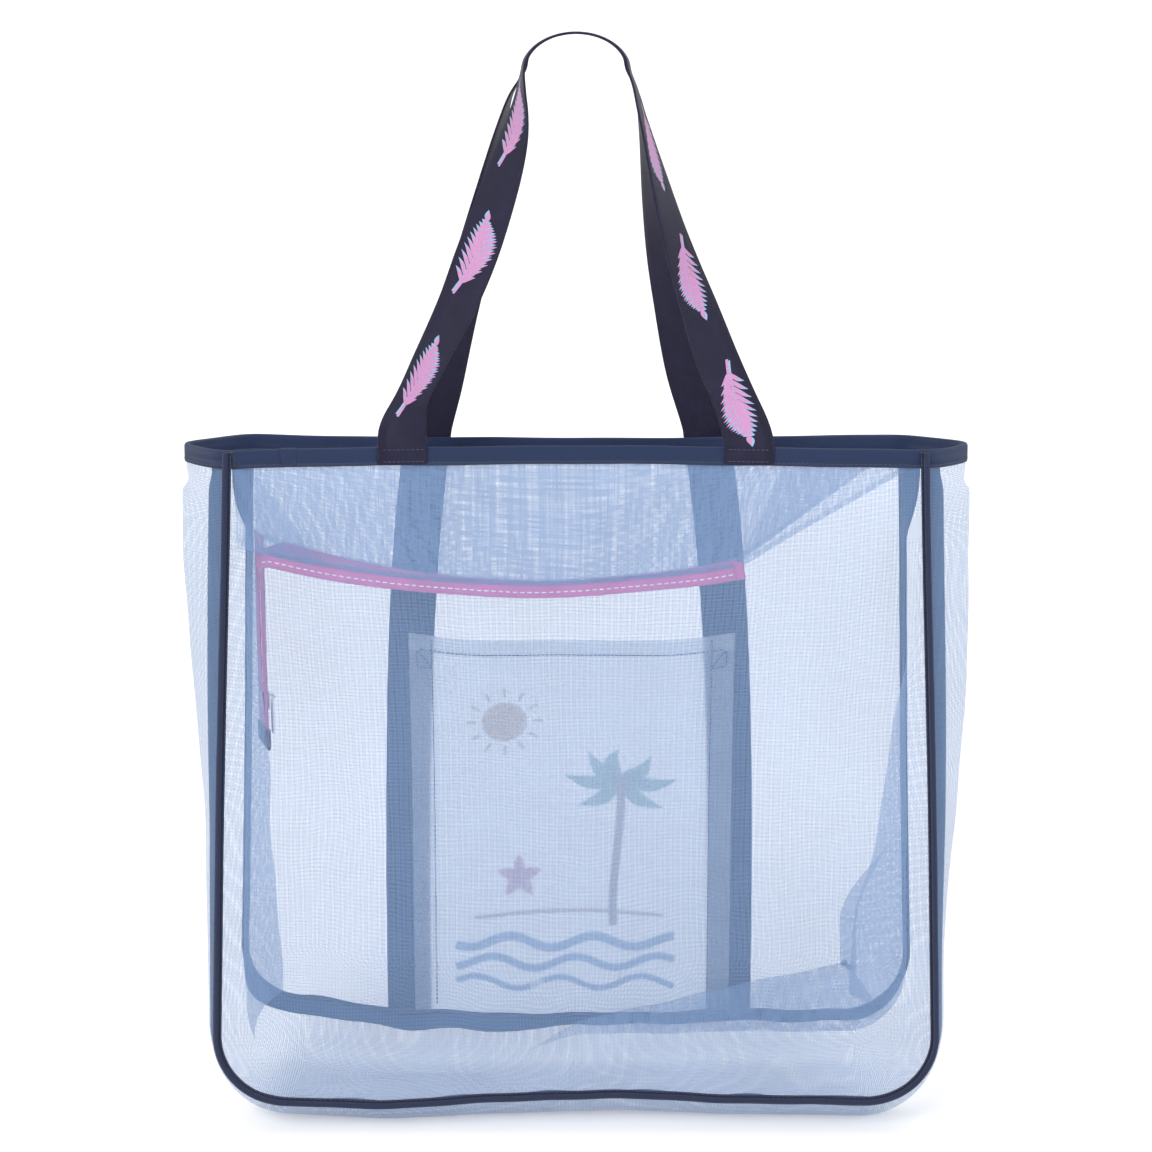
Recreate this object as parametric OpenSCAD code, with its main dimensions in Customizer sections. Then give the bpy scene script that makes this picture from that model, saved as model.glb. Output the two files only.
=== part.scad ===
// Mesh beach tote: two panels, a gusset strip in three runs, piped seams, a bound mouth, a recessed
// zip closure that hangs open, a patch pocket and two webbing handles. Millimetres, +Z up. The origin
// is on the floor under the middle of the bag. The back is towards -Y and the pocket side towards +Y.

/* [Body] */
// Height of the mouth above the floor
bag_h = 463; // [450:1:476]
// Half the width of the panels at the mouth
top_half_w = 224; // [220:1:228]
// Half the width of the panels at floor level
bottom_half_w = 243; // [239:1:246]
// Radius of the bottom corners of both panels
corner_r = 45; // [40:1:50]
// Height of the back panel's bottom seam
back_seam_z = 22; // [20:1:24]
// Height of the front panel's bottom seam
front_seam_z = 37; // [34:1:40]
// How far the side tips of the mouth stand out past the panels
tip_out = 35; // [32:1:38]

/* [Depth] */
// Distance of the bottom seams and side seams from the middle plane
seam_y = 52; // [50:1:54]
// Distance of the middle of each panel from the middle plane
belly_y = 50; // [48:1:52]
// Distance of the mouth's corners from the middle plane
mouth_corner_y = 42; // [40:1:44]
// Distance of the back edge of the mouth from the middle plane
mouth_back_y = 19; // [18:0.5:20]
// Distance of the front edge of the mouth from the middle plane
mouth_front_y = 22; // [21:0.5:23]

/* [Cloth] */
// Thickness of the panels
panel_t = 0.7; // [0.6:0.1:0.8]
// Thickness of the gusset strip
gusset_t = 0.8; // [0.6:0.1:0.9]
// Radius of the piping cord
piping_r = 2; // [1.6:0.1:2.1]
// Height of the binding round the mouth
binding_h = 12; // [11:1:13]
// Width of the tape over the seam allowances
seam_tape_w = 14; // [12:1:15]
// Thickness of the tape over the seam allowances
seam_tape_t = 0.9; // [0.7:0.1:1]

/* [Webbing] */
// Width of the webbing
webbing_w = 32; // [30:1:33]
// Thickness of the webbing
webbing_t = 1.5; // [1.2:0.1:1.6]
// Distance of the back handle's sewn ends from the middle
back_end_x = 113; // [110:1:114]
// Height of the handles' tops above the mouth
handle_rise = 264; // [262:1:268]

/* [Pocket] */
// Half the width of the pocket
pocket_half_w = 114; // [112:1:115]
// Height of the pocket's mouth above the floor
pocket_top_z = 323; // [318:1:328]
// How far the middle of the pocket's mouth stands open
pocket_open = 16; // [15:0.5:17]
// How far the middle of the pocket's mouth sags
pocket_sag = 9; // [6:1:12]

/* [Zip] */
// Width of one zip tape
zip_tape_w = 13; // [12:0.5:13.5]
// Height of the lowest stretch of the zip tapes above the floor
zip_low_z = 367; // [364:1:370]
// Height of the bottom end of the hanging zip tail
tail_end_z = 253; // [250:1:256]
// Height of the slider's middle at rest
slider_z = 281; // [280:1:283]

/* [Hidden] */

back = -1;
front = 1;
mesh_colour = [0.78, 0.87, 0.96, 0.55];
tape_colour = [0.16, 0.21, 0.38];
webbing_colour = [0.18, 0.17, 0.26];
zip_colour = [0.8, 0.55, 0.75];

// The mouth keeps one outline from here up, so the binding fits it
hold_z = bag_h - 14;
// The panels draw together between here and the mouth
pinch_z = 200;
// The side creases fold in below here
crease_top_z = 385;
// Where the corner arc and the straight side start along half a seam, which runs from 0 to 1
arc_at = 0.3;
side_at = 0.42;
// Half the outer thickness of the binding and half the width of its slot
binding_half = 1.9;
slot_half = 1.2;
// Clear distance between two layers of cloth that are sewn together
layer_gap = 0.15;
// Distance of the webbing's middle from the middle of the cloth that it is sewn over
webbing_off = binding_half + layer_gap + webbing_t / 2;
// How far the cloths' top edges stop below the top of the binding
top_inset = 1.6;
// How far the cloths sewn into the front bottom seam stop above it
seam_lap = 1.8;
zip_panel_t = 0.5;
zip_tape_t = 0.8;
coil_r = 0.9;
// Half the gap between the two coils where the zip is joined
coil_gap_half = 1.2;
// Middle of the hanging zip tail and the turn of its plane about Z
tail_x = -215.5;
tail_y = 17;
tail_turn = 111;
tail_top_z = 399;
handle_gap = 0.5;

function clamp01(t) = max(0, min(1, t));
function ease(t) = let (c = clamp01(t)) c * c * (3 - 2 * c);
function mix(a, b, t) = a + (b - a) * t;
function unit(v) = v / norm(v);

function half_w(z) = mix(bottom_half_w, top_half_w, z / bag_h);
function pinch(z) = ease((z - pinch_z) / (hold_z - pinch_z));
function mouth_mid(side) = side == back ? mouth_back_y : mouth_front_y;
function seam_z(side) = side == back ? back_seam_z : front_seam_z;

// Distance of a panel from the middle plane, signed
function panel_y(side, x, z) =
    let (mid = mix(belly_y, mouth_mid(side), pinch(z)))
    let (edge = mix(seam_y, mouth_corner_y, pinch(z)))
    side * (mid + (edge - mid) * pow(x / half_w(z), 2));

// Position along a seam as [x, z], from the left mouth corner at -1 to the right one at 1
function seam_xz(u, side) =
    let (a = abs(u), s = u < 0 ? -1 : 1, z0 = seam_z(side))
    let (flat = half_w(z0 + corner_r) - corner_r)
    a <= arc_at ? [s * flat * a / arc_at, z0]
    : a <= side_at ? let (t = corner_angle(a))
        [s * (flat + corner_r * sin(t)), z0 + corner_r * (1 - cos(t))]
    : let (z = mix(z0 + corner_r, bag_h, (a - side_at) / (1 - side_at))) [s * half_w(z), z];
function corner_angle(a) = 90 * clamp01((a - arc_at) / (side_at - arc_at));
// Direction out of the panel's plane edge at that position, as [x, z]
function seam_out(u) = let (t = corner_angle(abs(u))) [(u < 0 ? -1 : 1) * sin(t), -cos(t)];
function seam_point(u, side) =
    let (p = seam_xz(u, side)) [p[0], panel_y(side, p[0], p[1]), p[1]];
// Seam position whose height is z, on the straight side
function side_u(z) =
    mix(side_at, 1, (z - back_seam_z - corner_r) / (bag_h - back_seam_z - corner_r));

// How deep the side of the gusset folds in at height z. It stands out at the mouth
function crease_left(z) = mix(mix(35, 10, clamp01((z - 71) / 319)), -tip_out, mouth_flare(z));
function crease_right(z) = mix(mix(49, 0, clamp01((z - 78) / 262)), -tip_out, mouth_flare(z));
function mouth_flare(z) = ease((z - crease_top_z) / (hold_z - crease_top_z));

// Places across the strip, and how far out of the seams' plane it lies there
across = [0, 0.08, 0.2, 0.5, 0.78, 0.92, 1];
function side_profile(z, crease) =
    let (f = mouth_flare(z), h = z / bag_h)
    [0, 6 + 4 * h, 8 + 13 * h, -crease, mix(-0.3 * crease, 19, f), mix(0, 8, f), 0];
function bottom_profile() =
    [for (f = across) let (z = mix(back_seam_z, front_seam_z, f))
        f == 0 || f == 1 ? 0 : f == 0.08 ? z - 8 : f == 0.92 ? z - 17 : z - gusset_t / 2];

// One row of points across the strip, inset from both seams so that it clears the panels
function gusset_row(u) =
    let (a = seam_point(u, back), b = seam_point(u, front), out = seam_out(u), z = a[2])
    let (w = 1 - ease(corner_angle(abs(u)) / 90))
    let (side = side_profile(z, u < 0 ? crease_left(z) : crease_right(z)), low = bottom_profile())
    [for (i = [0 : len(across) - 1])
        let (f = i == 0 ? 0.012 : i == len(across) - 1 ? 0.988 : across[i])
        let (n = mix(side[i], low[i], w))
        mix(a, b, f) + [out[0] * n, 0, out[1] * n]];

// A closed sheet of thickness t about a grid of points
function grid_normal(g, i, j) =
    let (m = len(g) - 1, n = len(g[0]) - 1)
    unit(cross(g[min(i + 1, m)][j] - g[max(i - 1, 0)][j], g[i][min(j + 1, n)] - g[i][max(j - 1, 0)]));
module sheet(g, t) {
    m = len(g) - 1;
    n = len(g[0]) - 1;
    half = t / 2;
    top = [for (i = [0 : m], j = [0 : n]) g[i][j] + half * grid_normal(g, i, j)];
    low = [for (i = [0 : m], j = [0 : n]) g[i][j] - half * grid_normal(g, i, j)];
    function f(i, j) = i * (n + 1) + j;
    function b(i, j) = (m + 1) * (n + 1) + f(i, j);
    faces = [
        for (i = [0 : m - 1], j = [0 : n - 1]) each [
            [f(i, j), f(i + 1, j + 1), f(i + 1, j)], [f(i, j), f(i, j + 1), f(i + 1, j + 1)],
            [b(i, j), b(i + 1, j), b(i + 1, j + 1)], [b(i, j), b(i + 1, j + 1), b(i, j + 1)]],
        for (j = [0 : n - 1]) each [
            [f(0, j + 1), f(0, j), b(0, j)], [f(0, j + 1), b(0, j), b(0, j + 1)],
            [f(m, j), f(m, j + 1), b(m, j + 1)], [f(m, j), b(m, j + 1), b(m, j)]],
        for (i = [0 : m - 1]) each [
            [f(i, 0), f(i + 1, 0), b(i + 1, 0)], [f(i, 0), b(i + 1, 0), b(i, 0)],
            [f(i + 1, n), f(i, n), b(i, n)], [f(i + 1, n), b(i, n), b(i + 1, n)]]
    ];
    polyhedron(concat(top, low), faces, convexity = 8);
}

// A section swept along frames of [origin, a, b], where a cross b points along the path
module sweep(frames, section) {
    k = len(section);
    rings = len(frames);
    points = [for (f = frames, s = section) f[0] + f[1] * s[0] + f[2] * s[1]];
    // Opposite sides of the section share their diagonals, so that a twisted strip keeps its thickness
    sides = [for (i = [0 : rings - 2], j = [0 : k - 1])
        let (q = (j + 1) % k, a = i * k + j, b = (i + 1) * k + j, c = (i + 1) * k + q, d = i * k + q)
        each (j < k / 2 ? [[a, b, c], [a, c, d]] : [[a, b, d], [b, c, d]])];
    caps = [[for (j = [0 : k - 1]) j], [for (j = [k - 1 : -1 : 0]) (rings - 1) * k + j]];
    polyhedron(points, concat(sides, caps), convexity = 8);
}
function box_section(w, t) = [[-t / 2, -w / 2], [t / 2, -w / 2], [t / 2, w / 2], [-t / 2, w / 2]];
function round_section(r, sides) = [for (i = [0 : sides - 1]) r * [cos(360 * i / sides), sin(360 * i / sides)]];
function tangent(points, i) = unit(points[min(i + 1, len(points) - 1)] - points[max(i - 1, 0)]);

// Stations along half a seam, from the mouth down the side and round the corner to the middle
side_zs = [449, 420, 385, 350, 310, 285, 260, 235, 210, 160, 110];
corner_us = [for (i = [6 : -1 : 0]) mix(arc_at, side_at, i / 6)];
bottom_us = [0.24, 0.18, 0.12, 0.06];
half_us = concat([for (z = side_zs) side_u(z)], corner_us, bottom_us);
seam_us = concat([for (u = half_us) -u], [0], [for (i = [len(half_us) - 1 : -1 : 0]) half_us[i]]);

// Columns across a panel, as shares of its half width
columns = [for (i = [-12 : 12]) i / 12];
panel_edge_gap = 1;
module panel(side) {
    us = concat([side_u(bag_h - top_inset)], [for (u = half_us) if (u >= arc_at) u]);
    sheet([for (u = us) let (p = seam_xz(u, side)) [for (c = columns)
        let (x = c * (p[0] - panel_edge_gap), z = max(p[1], seam_z(side) + panel_edge_gap))
        [x, panel_y(side, x, z) + side * panel_t / 2, z]]], panel_t);
}
module back_panel() { color(mesh_colour) panel(back); }
module front_panel() { color(mesh_colour) panel(front); }

// The strip is cut at the middle of each bottom corner, with a gap of twice this share of the seam
corner_cut = mix(arc_at, side_at, 0.5);
cut_gap = 0.0004;
gusset_side_us = concat(
    [side_u(bag_h - top_inset)], [for (u = half_us) if (u > corner_cut + 2 * cut_gap) u], [corner_cut + cut_gap]);
gusset_low_us = concat([corner_cut - cut_gap], [for (u = half_us) if (u < corner_cut - 2 * cut_gap) u]);
module gusset(us) { color(mesh_colour) sheet([for (u = us) gusset_row(u)], gusset_t); }
module gusset_left() { gusset([for (u = gusset_side_us) -u]); }
module gusset_right() { gusset(gusset_side_us); }
module gusset_bottom() {
    gusset(concat(
        [for (u = gusset_low_us) -u], [0], [for (i = [len(gusset_low_us) - 1 : -1 : 0]) gusset_low_us[i]]));
}

// Piping lies just outside the seam, in front of both cloths
piping_gap = 0.6;
module piping(side) {
    points = [for (u = seam_us) let (p = seam_point(u, side), out = seam_out(u))
        p + [out[0], side * (piping_r + piping_gap), out[1]]];
    frames = [for (i = [0 : len(points) - 1])
        let (t = tangent(points, i), a = unit(cross([0, 1, 0], t))) [points[i], a, cross(t, a)]];
    sweep(frames, round_section(piping_r, 8));
}
module back_piping() { color(tape_colour) piping(back); }
module front_piping() { color(tape_colour) piping(front); }

// The seam tape follows the inner face of the strip at this distance, and starts as far from the seam
tape_clear = 2;
function along(row, d) =
    let (first = norm(row[1] - row[0]))
    d < first ? mix(row[0], row[1], d / first)
    : mix(row[1], row[2], (d - first) / norm(row[2] - row[1]));
function tape_row(u, side) =
    let (row = gusset_row(u), out = seam_out(u))
    let (r = side == back ? row : [for (i = [len(row) - 1 : -1 : 0]) row[i]])
    let (start = along(r, tape_clear), end = along(r, seam_tape_w + tape_clear), run = end - start)
    let (s = run[1] < 0 ? -1 : 1, rise = run[0] * out[0] + run[2] * out[1])
    let (inward = tape_clear * unit([s * rise, -s * run[1]]))
    [for (p = [start, end]) p + [out[0] * inward[1], inward[0], out[1] * inward[1]]];
module seam_tape(side) {
    sheet([for (u = seam_us) tape_row(u, side)], seam_tape_t);
}
module back_seam_tape() { color(tape_colour) seam_tape(back); }
module front_seam_tape() { color(tape_colour) seam_tape(front); }

// Folded binding with a slot that holds the cloth's top edge
binding_section = [
    [-binding_half, 0], [-slot_half, 0], [-slot_half, binding_h - 1], [slot_half, binding_h - 1],
    [slot_half, 0], [binding_half, 0], [binding_half, binding_h], [-binding_half, binding_h]
];
module binding(points) {
    frames = [for (i = [0 : len(points) - 1])
        let (t = tangent(points, i)) [points[i], unit(cross([0, 0, 1], t)), [0, 0, 1]]];
    sweep(frames, binding_section);
}
// Gaps that keep the four runs apart at the mouth's corners
mouth_run_inset = 2.6;
mouth_side_inset = 0.28;
module mouth_run(side) {
    xs = [for (c = columns) c * (top_half_w - mouth_run_inset)];
    binding([for (x = xs) [x, panel_y(side, x, bag_h), bag_h - binding_h]]);
}
module mouth_side(s) {
    row = gusset_row(s * side_u(bag_h));
    first = mix(row[0], row[1], mouth_side_inset);
    last = mix(row[6], row[5], mouth_side_inset);
    points = concat([first], [for (i = [1 : 5]) row[i]], [last]);
    binding([for (p = points) [p[0], p[1], bag_h - binding_h]]);
}
module top_binding_back() { color(tape_colour) mouth_run(back); }
module top_binding_front() { color(tape_colour) mouth_run(front); }
module top_binding_left() { color(tape_colour) mouth_side(-1); }
module top_binding_right() { color(tape_colour) mouth_side(1); }

// Lower edge of the closure's mesh, and the middle line of the zip tape along it
zip_left_x = -205;
zip_right_x = 110;
zip_step = 22.5;
panel_right_x = 214;
// Height of the mesh edge above the middle of the tape, and its distance below the mouth at the right end
edge_rise = 4.5;
edge_drop = 18;
// Distance of the closure's mesh from the middle of the binding
zip_panel_off = 0.55;
function zip_z(x) = zip_low_z + 20 * pow((x + 45) / 160, 2) - 0.03 * (x + 45);
function mesh_edge_z(x) =
    x <= zip_right_x ? zip_z(x) + edge_rise
    : mix(zip_z(zip_right_x) + edge_rise, bag_h - edge_drop, (x - zip_right_x) / (panel_right_x - zip_right_x));
function zip_panel_y(side, x) = panel_y(side, x, bag_h) - side * zip_panel_off;
module zip_panel(side) {
    xs = concat([for (x = [zip_left_x : zip_step : zip_right_x]) x], [136, 162, 188, panel_right_x]);
    sheet([for (x = xs) [for (t = [0, 0.25, 0.5, 0.75, 1])
        [x, zip_panel_y(side, x), mix(bag_h - top_inset, mesh_edge_z(x), t)]]], zip_panel_t);
}
module zip_panel_back() { color(mesh_colour) zip_panel(back); }
module zip_panel_front() { color(mesh_colour) zip_panel(front); }

// Local frame of the hanging tail: X across the tape, -Y into the bag, Z up
module in_tail() { translate([tail_x, tail_y, 0]) rotate([0, 0, tail_turn]) children(); }
function tail_xy(x, y) = [
    tail_x + x * cos(tail_turn) - y * sin(tail_turn), tail_y + x * sin(tail_turn) + y * cos(tail_turn)];
// Plan of one tape: along the mesh edge, then in to the top of its half of the tail
back_turn = [[-200, -27], [-206, -14], [-207, -4]];
front_turn = [[-199, 33], [-207, 31], tail_xy(7, 0) + [2, 2]];
function tape_plan(side) =
    let (off = zip_panel_t / 2 + 2 * layer_gap + zip_tape_t / 2)
    let (run = [for (x = [zip_right_x : -zip_step : zip_left_x + 20]) [x, zip_panel_y(side, x) - side * off]])
    concat(run, side == back ? back_turn : front_turn);
function tape_frames(side) =
    let (plan = tape_plan(side), points = [for (p = plan) [p[0], p[1], zip_z(max(p[0], zip_left_x))]])
    [for (i = [0 : len(points) - 1])
        let (t = tangent(points, i), a = unit(cross([0, 0, 1], t))) [points[i], a, cross(t, a)]];
module zip_tape(side) {
    sweep(tape_frames(side), box_section(zip_tape_w, zip_tape_t));
    in_tail() translate([side * (coil_gap_half + coil_r + zip_tape_w / 2), 0, (tail_end_z + tail_top_z) / 2])
        cube([zip_tape_w, zip_tape_t, tail_top_z - tail_end_z], center = true);
}
module zip_tape_back() { color(zip_colour) zip_tape(back); }
module zip_tape_front() { color(zip_colour) zip_tape(front); }

// Coil along the lower edge of each tape, and down its half of the tail
coil_top_z = 384;
coil_end_z = 272.5;
coil_inset = 1.2;
module zip_coil(side) {
    run = [for (f = tape_frames(side)) if (f[0][0] > zip_left_x + 24) f];
    lift = zip_tape_t / 2 + layer_gap + coil_r;
    s = side == back ? -1 : 1;
    sweep([for (f = run) [f[0] + f[1] * lift * s - f[2] * (zip_tape_w / 2 - coil_inset), f[1], f[2]]],
        round_section(coil_r, 8));
    in_tail() translate([side * (coil_gap_half + coil_r), -lift, coil_end_z])
        cylinder(h = coil_top_z - coil_end_z, r = coil_r, $fn = 16);
}
module zip_coil_back() { color(zip_colour) zip_coil(back); }
module zip_coil_front() { color(zip_colour) zip_coil(front); }

stop_size = [7, 2, 3.4];
stop_y = -2.6;
module zip_bottom_stop() {
    color("silver") in_tail() translate([-stop_size[0] / 2, stop_y, coil_end_z - stop_size[2] - 0.2])
        cube(stop_size);
}
// Folded tab with a slot that holds the tapes' bottom ends
tab_size = [31, 2.8, 14];
tab_slot_t = 1.2;
module zip_tail_tab() {
    color(tape_colour) in_tail() difference() {
        translate([-tab_size[0] / 2, -tab_size[1] / 2, tail_end_z - 4]) cube(tab_size);
        translate([-tab_size[0] / 2 - 1, -tab_slot_t / 2, tail_end_z - 1])
            cube([tab_size[0] + 2, tab_slot_t, tab_size[2]]);
    }
}

// Slider: two plates joined by a post that runs between the coils, with lugs and a pin for the pull
slider_w = 9;
slider_h = 12;
plate_t = 1;
front_plate_y = -3.9;
back_plate_y = 1;
post_w = 1.6;
post_h = 3;
lug_in = 1.9;
lug_t = 1;
lug_r = 1.2;
pin_y = -6.2;
pin_z = slider_z + 2;
pin_r = 0.6;
module zip_slider() {
    color("silver") in_tail() {
        for (y = [front_plate_y, back_plate_y])
            translate([-slider_w / 2, y, slider_z - slider_h / 2]) cube([slider_w, plate_t, slider_h]);
        translate([-post_w / 2, front_plate_y + plate_t / 2, slider_z + slider_h / 2 - post_h])
            cube([post_w, back_plate_y - front_plate_y, post_h]);
        for (x = [-lug_in - lug_t, lug_in])
            translate([x, pin_y - lug_r + 0.3, pin_z - lug_r])
                cube([lug_t, front_plate_y - pin_y + lug_r, 2 * lug_r]);
        translate([-lug_in - lug_t / 2, pin_y, pin_z]) rotate([0, 90, 0])
            cylinder(h = 2 * lug_in + lug_t, r = pin_r, $fn = 24);
    }
}
pull_w = 6;
pull_l = 26;
pull_t = 1.2;
neck_w = 3.2;
eye_r = 1.8;
module zip_pull() {
    color("silver") in_tail() translate([0, pin_y, pin_z]) difference() {
        union() {
            rotate([0, 90, 0]) cylinder(h = neck_w, r = eye_r, center = true, $fn = 32);
            translate([-neck_w / 2, -pull_t / 2, -6]) cube([neck_w, pull_t, 5]);
            translate([-pull_w / 2, -pull_t / 2, -pull_l]) cube([pull_w, pull_t, pull_l - 5]);
        }
        rotate([0, 90, 0]) cylinder(h = 5, r = pin_r + 0.2, center = true, $fn = 24);
    }
}

// Webbing sewn down the front panel, which carries on up as the front handle
function strap_x(s, z) =
    let (t = (z - front_seam_z) / (bag_h - front_seam_z))
    s < 0 ? -121 + 20 * pow(t, 3) : 111 - 22 * pow(t, 3);
module front_strap(s) {
    zs = concat([bag_h], side_zs, [75, front_seam_z + seam_lap]);
    sheet([for (z = zs) [for (c = [-0.5, -0.25, 0, 0.25, 0.5])
        let (x = strap_x(s, z) + c * webbing_w) [x, panel_y(front, x, z) + webbing_off, z]]], webbing_t);
}
module front_strap_left() { color(webbing_colour) front_strap(-1); }
module front_strap_right() { color(webbing_colour) front_strap(1); }

pocket_x = -3;
pocket_t = 0.7;
// The pocket is flat against the panel under the straps, which start at this share of its half width
pocket_flat = 0.75;
function pocket_bulge(c, z) =
    pocket_open * pow(max(0, 1 - pow(c / pocket_flat, 2)), 2) * ease((z - 60) / 240);
function pocket_z(c, z) = z - pocket_sag * (1 - c * c) * ease((z - 200) / (pocket_top_z - 200));
pocket_gap = 0.6;
pocket_zs = [pocket_top_z, 310, 285, 260, 235, 210, 185, 160, 130, 100, 70, front_seam_z + seam_lap];
module front_pocket() {
    color([0.8, 0.88, 0.96]) sheet([for (z = pocket_zs)
        [for (c = columns) let (x = pocket_x + c * pocket_half_w, zc = pocket_z(c, z))
            [x, panel_y(front, x, zc) + panel_t + pocket_gap + pocket_bulge(c, z), zc]]], pocket_t);
}

// Ends of the back handle, sewn over the outside of the binding
module back_handle_end(s) {
    sheet([for (z = [bag_h, bag_h - binding_h + 0.5]) [for (c = [-0.5, -0.25, 0, 0.25, 0.5])
        let (x = s * back_end_x + c * webbing_w) [x, panel_y(back, x, bag_h) - webbing_off, z]]], webbing_t);
}
module back_handle_end_left() { color(webbing_colour) back_handle_end(-1); }
module back_handle_end_right() { color(webbing_colour) back_handle_end(1); }

// Legs of the handles as [height above the mouth, distance from the middle, depth, twist], from the
// mouth up to the arch. A twist of 0 lies flat along the bag and 90 lies edge on
back_left_leg = [
    [0, -113, -27.5, -6], [8, -113, -26.6, 4], [28, -108, -24.4, 44], [55, -95.5, -22.6, 46], [91, -77.5, -20.8, 37],
    [123, -64.5, -19.4, 30], [155, -53, -18.4, 36], [181, -44.5, -17.8, 45], [199, -39.5, -17.5, 55],
    [213, -36.8, -17.3, 66], [226, -35.4, -17.2, 77]
];
back_right_leg = [
    [0, 113, -27.5, -6], [8, 111.5, -26.6, 4], [30, 103.5, -24.4, 26], [56, 92, -22.6, 28], [88, 80.5, -20.8, 39],
    [116, 70.5, -19.4, 50], [140, 62.5, -18.4, 58], [177, 52, -17.8, 70], [199, 46, -17.5, 77],
    [215, 41.5, -17.3, 81], [230, 37.5, -17.2, 84]
];
front_left_leg = [
    [0, -101, 28.9, -5], [8, -100, 28, 4], [38, -91, 25, 24], [78, -81, 22, 34], [120, -69, 20, 46],
    [160, -59, 18.4, 60], [206, -48.5, 17.5, 80], [226, -43, 17.2, 90]
];
front_right_leg = [
    [0, 89, 28, -5], [8, 88, 27.2, 4], [47, 75, 25, 24], [92, 64.5, 22, 40], [123, 57.5, 20, 52],
    [160, 51, 18.4, 66], [206, 44.5, 17.5, 82], [228, 40, 17.2, 90]
];
arch_z = bag_h + handle_rise - 24;
arch_half_w = 34;
arch_h = 24;
arch_y = 17.2;
// The front handle's arch stands a little higher than the back one's
function arch_lift(side) = side == back ? -1.4 : 1.4;
function leg_key(k) = [[k[1], k[2], bag_h + (k[0] == 0 ? handle_gap : k[0])], k[3]];
function handle_keys(side, left, right) = concat(
    [for (k = left) leg_key(k)],
    [for (a = [180 : -20 : 0]) [[arch_half_w * cos(a), side * arch_y, arch_z + arch_lift(side) + arch_h * sin(a)],
        side == back ? 85 : 95]],
    [for (i = [len(right) - 1 : -1 : 0]) leg_key(right[i])]);
// Extra stations between the keys keep the twist between neighbours small
function halfway(keys) = [
    for (i = [0 : len(keys) - 2]) each [keys[i], (keys[i] + keys[i + 1]) / 2], keys[len(keys) - 1]];
function handle_frames(side, left, right) =
    let (keys = halfway(handle_keys(side, left, right)), points = [for (k = keys) k[0]])
    [for (i = [0 : len(keys) - 1])
        let (t = i == 0 ? [0, 0, 1] : i == len(keys) - 1 ? [0, 0, -1] : tangent(points, i))
        let (out = unit([-t[2], 0, t[0]]), n0 = unit(side * ([0, 1, 0] - t[1] * t)))
        let (n = unit(n0 * cos(keys[i][1]) + out * sin(keys[i][1])), w = unit(cross(t, n)))
        [points[i], cross(w, t), w]];
module handle(side, left, right) {
    color(webbing_colour) sweep(handle_frames(side, left, right), box_section(webbing_w, webbing_t));
}
module back_handle() { handle(back, back_left_leg, back_right_leg); }
module front_handle() { handle(front, front_left_leg, front_right_leg); }

// Small blank label sewn in beside the back seam
label_size = [0.6, 16, 13];
module care_label() {
    color("navy") translate([-213, -29, bag_h - 32]) rotate([0, 0, 12]) cube(label_size, center = true);
}

back_panel();
front_panel();
gusset_left();
gusset_bottom();
gusset_right();
back_piping();
front_piping();
back_seam_tape();
front_seam_tape();
top_binding_back();
top_binding_front();
top_binding_left();
top_binding_right();
zip_panel_back();
zip_panel_front();
zip_tape_back();
zip_tape_front();
zip_coil_back();
zip_coil_front();
zip_bottom_stop();
zip_tail_tab();
zip_slider();
zip_pull();
front_strap_left();
front_strap_right();
front_pocket();
back_handle_end_left();
back_handle_end_right();
back_handle();
front_handle();
care_label();
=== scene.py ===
"""Looks for the mesh beach tote: cloth, bindings, webbing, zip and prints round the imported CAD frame.

Shapes are worked out in millimetres in the frame's own axes and turned into metres when a mesh is made.
"""

import math

import bpy
import numpy as np
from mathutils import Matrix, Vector


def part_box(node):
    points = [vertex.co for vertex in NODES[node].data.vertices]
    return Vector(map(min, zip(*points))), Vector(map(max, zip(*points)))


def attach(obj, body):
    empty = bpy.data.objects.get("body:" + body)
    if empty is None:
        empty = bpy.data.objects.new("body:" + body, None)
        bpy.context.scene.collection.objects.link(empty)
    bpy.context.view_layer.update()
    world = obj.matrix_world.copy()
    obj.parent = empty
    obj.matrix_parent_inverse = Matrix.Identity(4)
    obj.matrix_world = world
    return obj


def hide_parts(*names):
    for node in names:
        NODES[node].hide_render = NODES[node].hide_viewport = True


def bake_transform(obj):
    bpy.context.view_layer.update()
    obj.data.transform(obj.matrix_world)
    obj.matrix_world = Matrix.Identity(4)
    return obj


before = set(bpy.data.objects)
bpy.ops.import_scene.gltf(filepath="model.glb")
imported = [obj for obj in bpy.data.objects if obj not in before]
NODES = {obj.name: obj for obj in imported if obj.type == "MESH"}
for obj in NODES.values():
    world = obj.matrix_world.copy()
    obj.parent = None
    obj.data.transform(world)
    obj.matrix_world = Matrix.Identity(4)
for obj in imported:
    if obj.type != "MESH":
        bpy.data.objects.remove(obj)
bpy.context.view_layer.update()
MM = 0.001

# ---------------------------------------------------------------- camera

CAMERA_HEIGHT = 0.624
CAMERA_DISTANCE = 1.225
CAMERA_DOWN = 9.0
camera_data = bpy.data.cameras.new("camera")
camera_data.sensor_width = 36.0
camera_data.lens = 58.0
camera_data.shift_y = -0.0742
camera = bpy.data.objects.new("camera", camera_data)
camera.location = (0.0, -CAMERA_DISTANCE, CAMERA_HEIGHT)
camera.rotation_euler = (math.radians(90.0 - CAMERA_DOWN), 0.0, 0.0)
bpy.context.scene.collection.objects.link(camera)
bpy.context.scene.camera = camera

# ---------------------------------------------------------------- sizes, from the frame where it has them


def box_mm(node):
    low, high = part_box(node)
    return np.array(low) / MM, np.array(high) / MM


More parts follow.
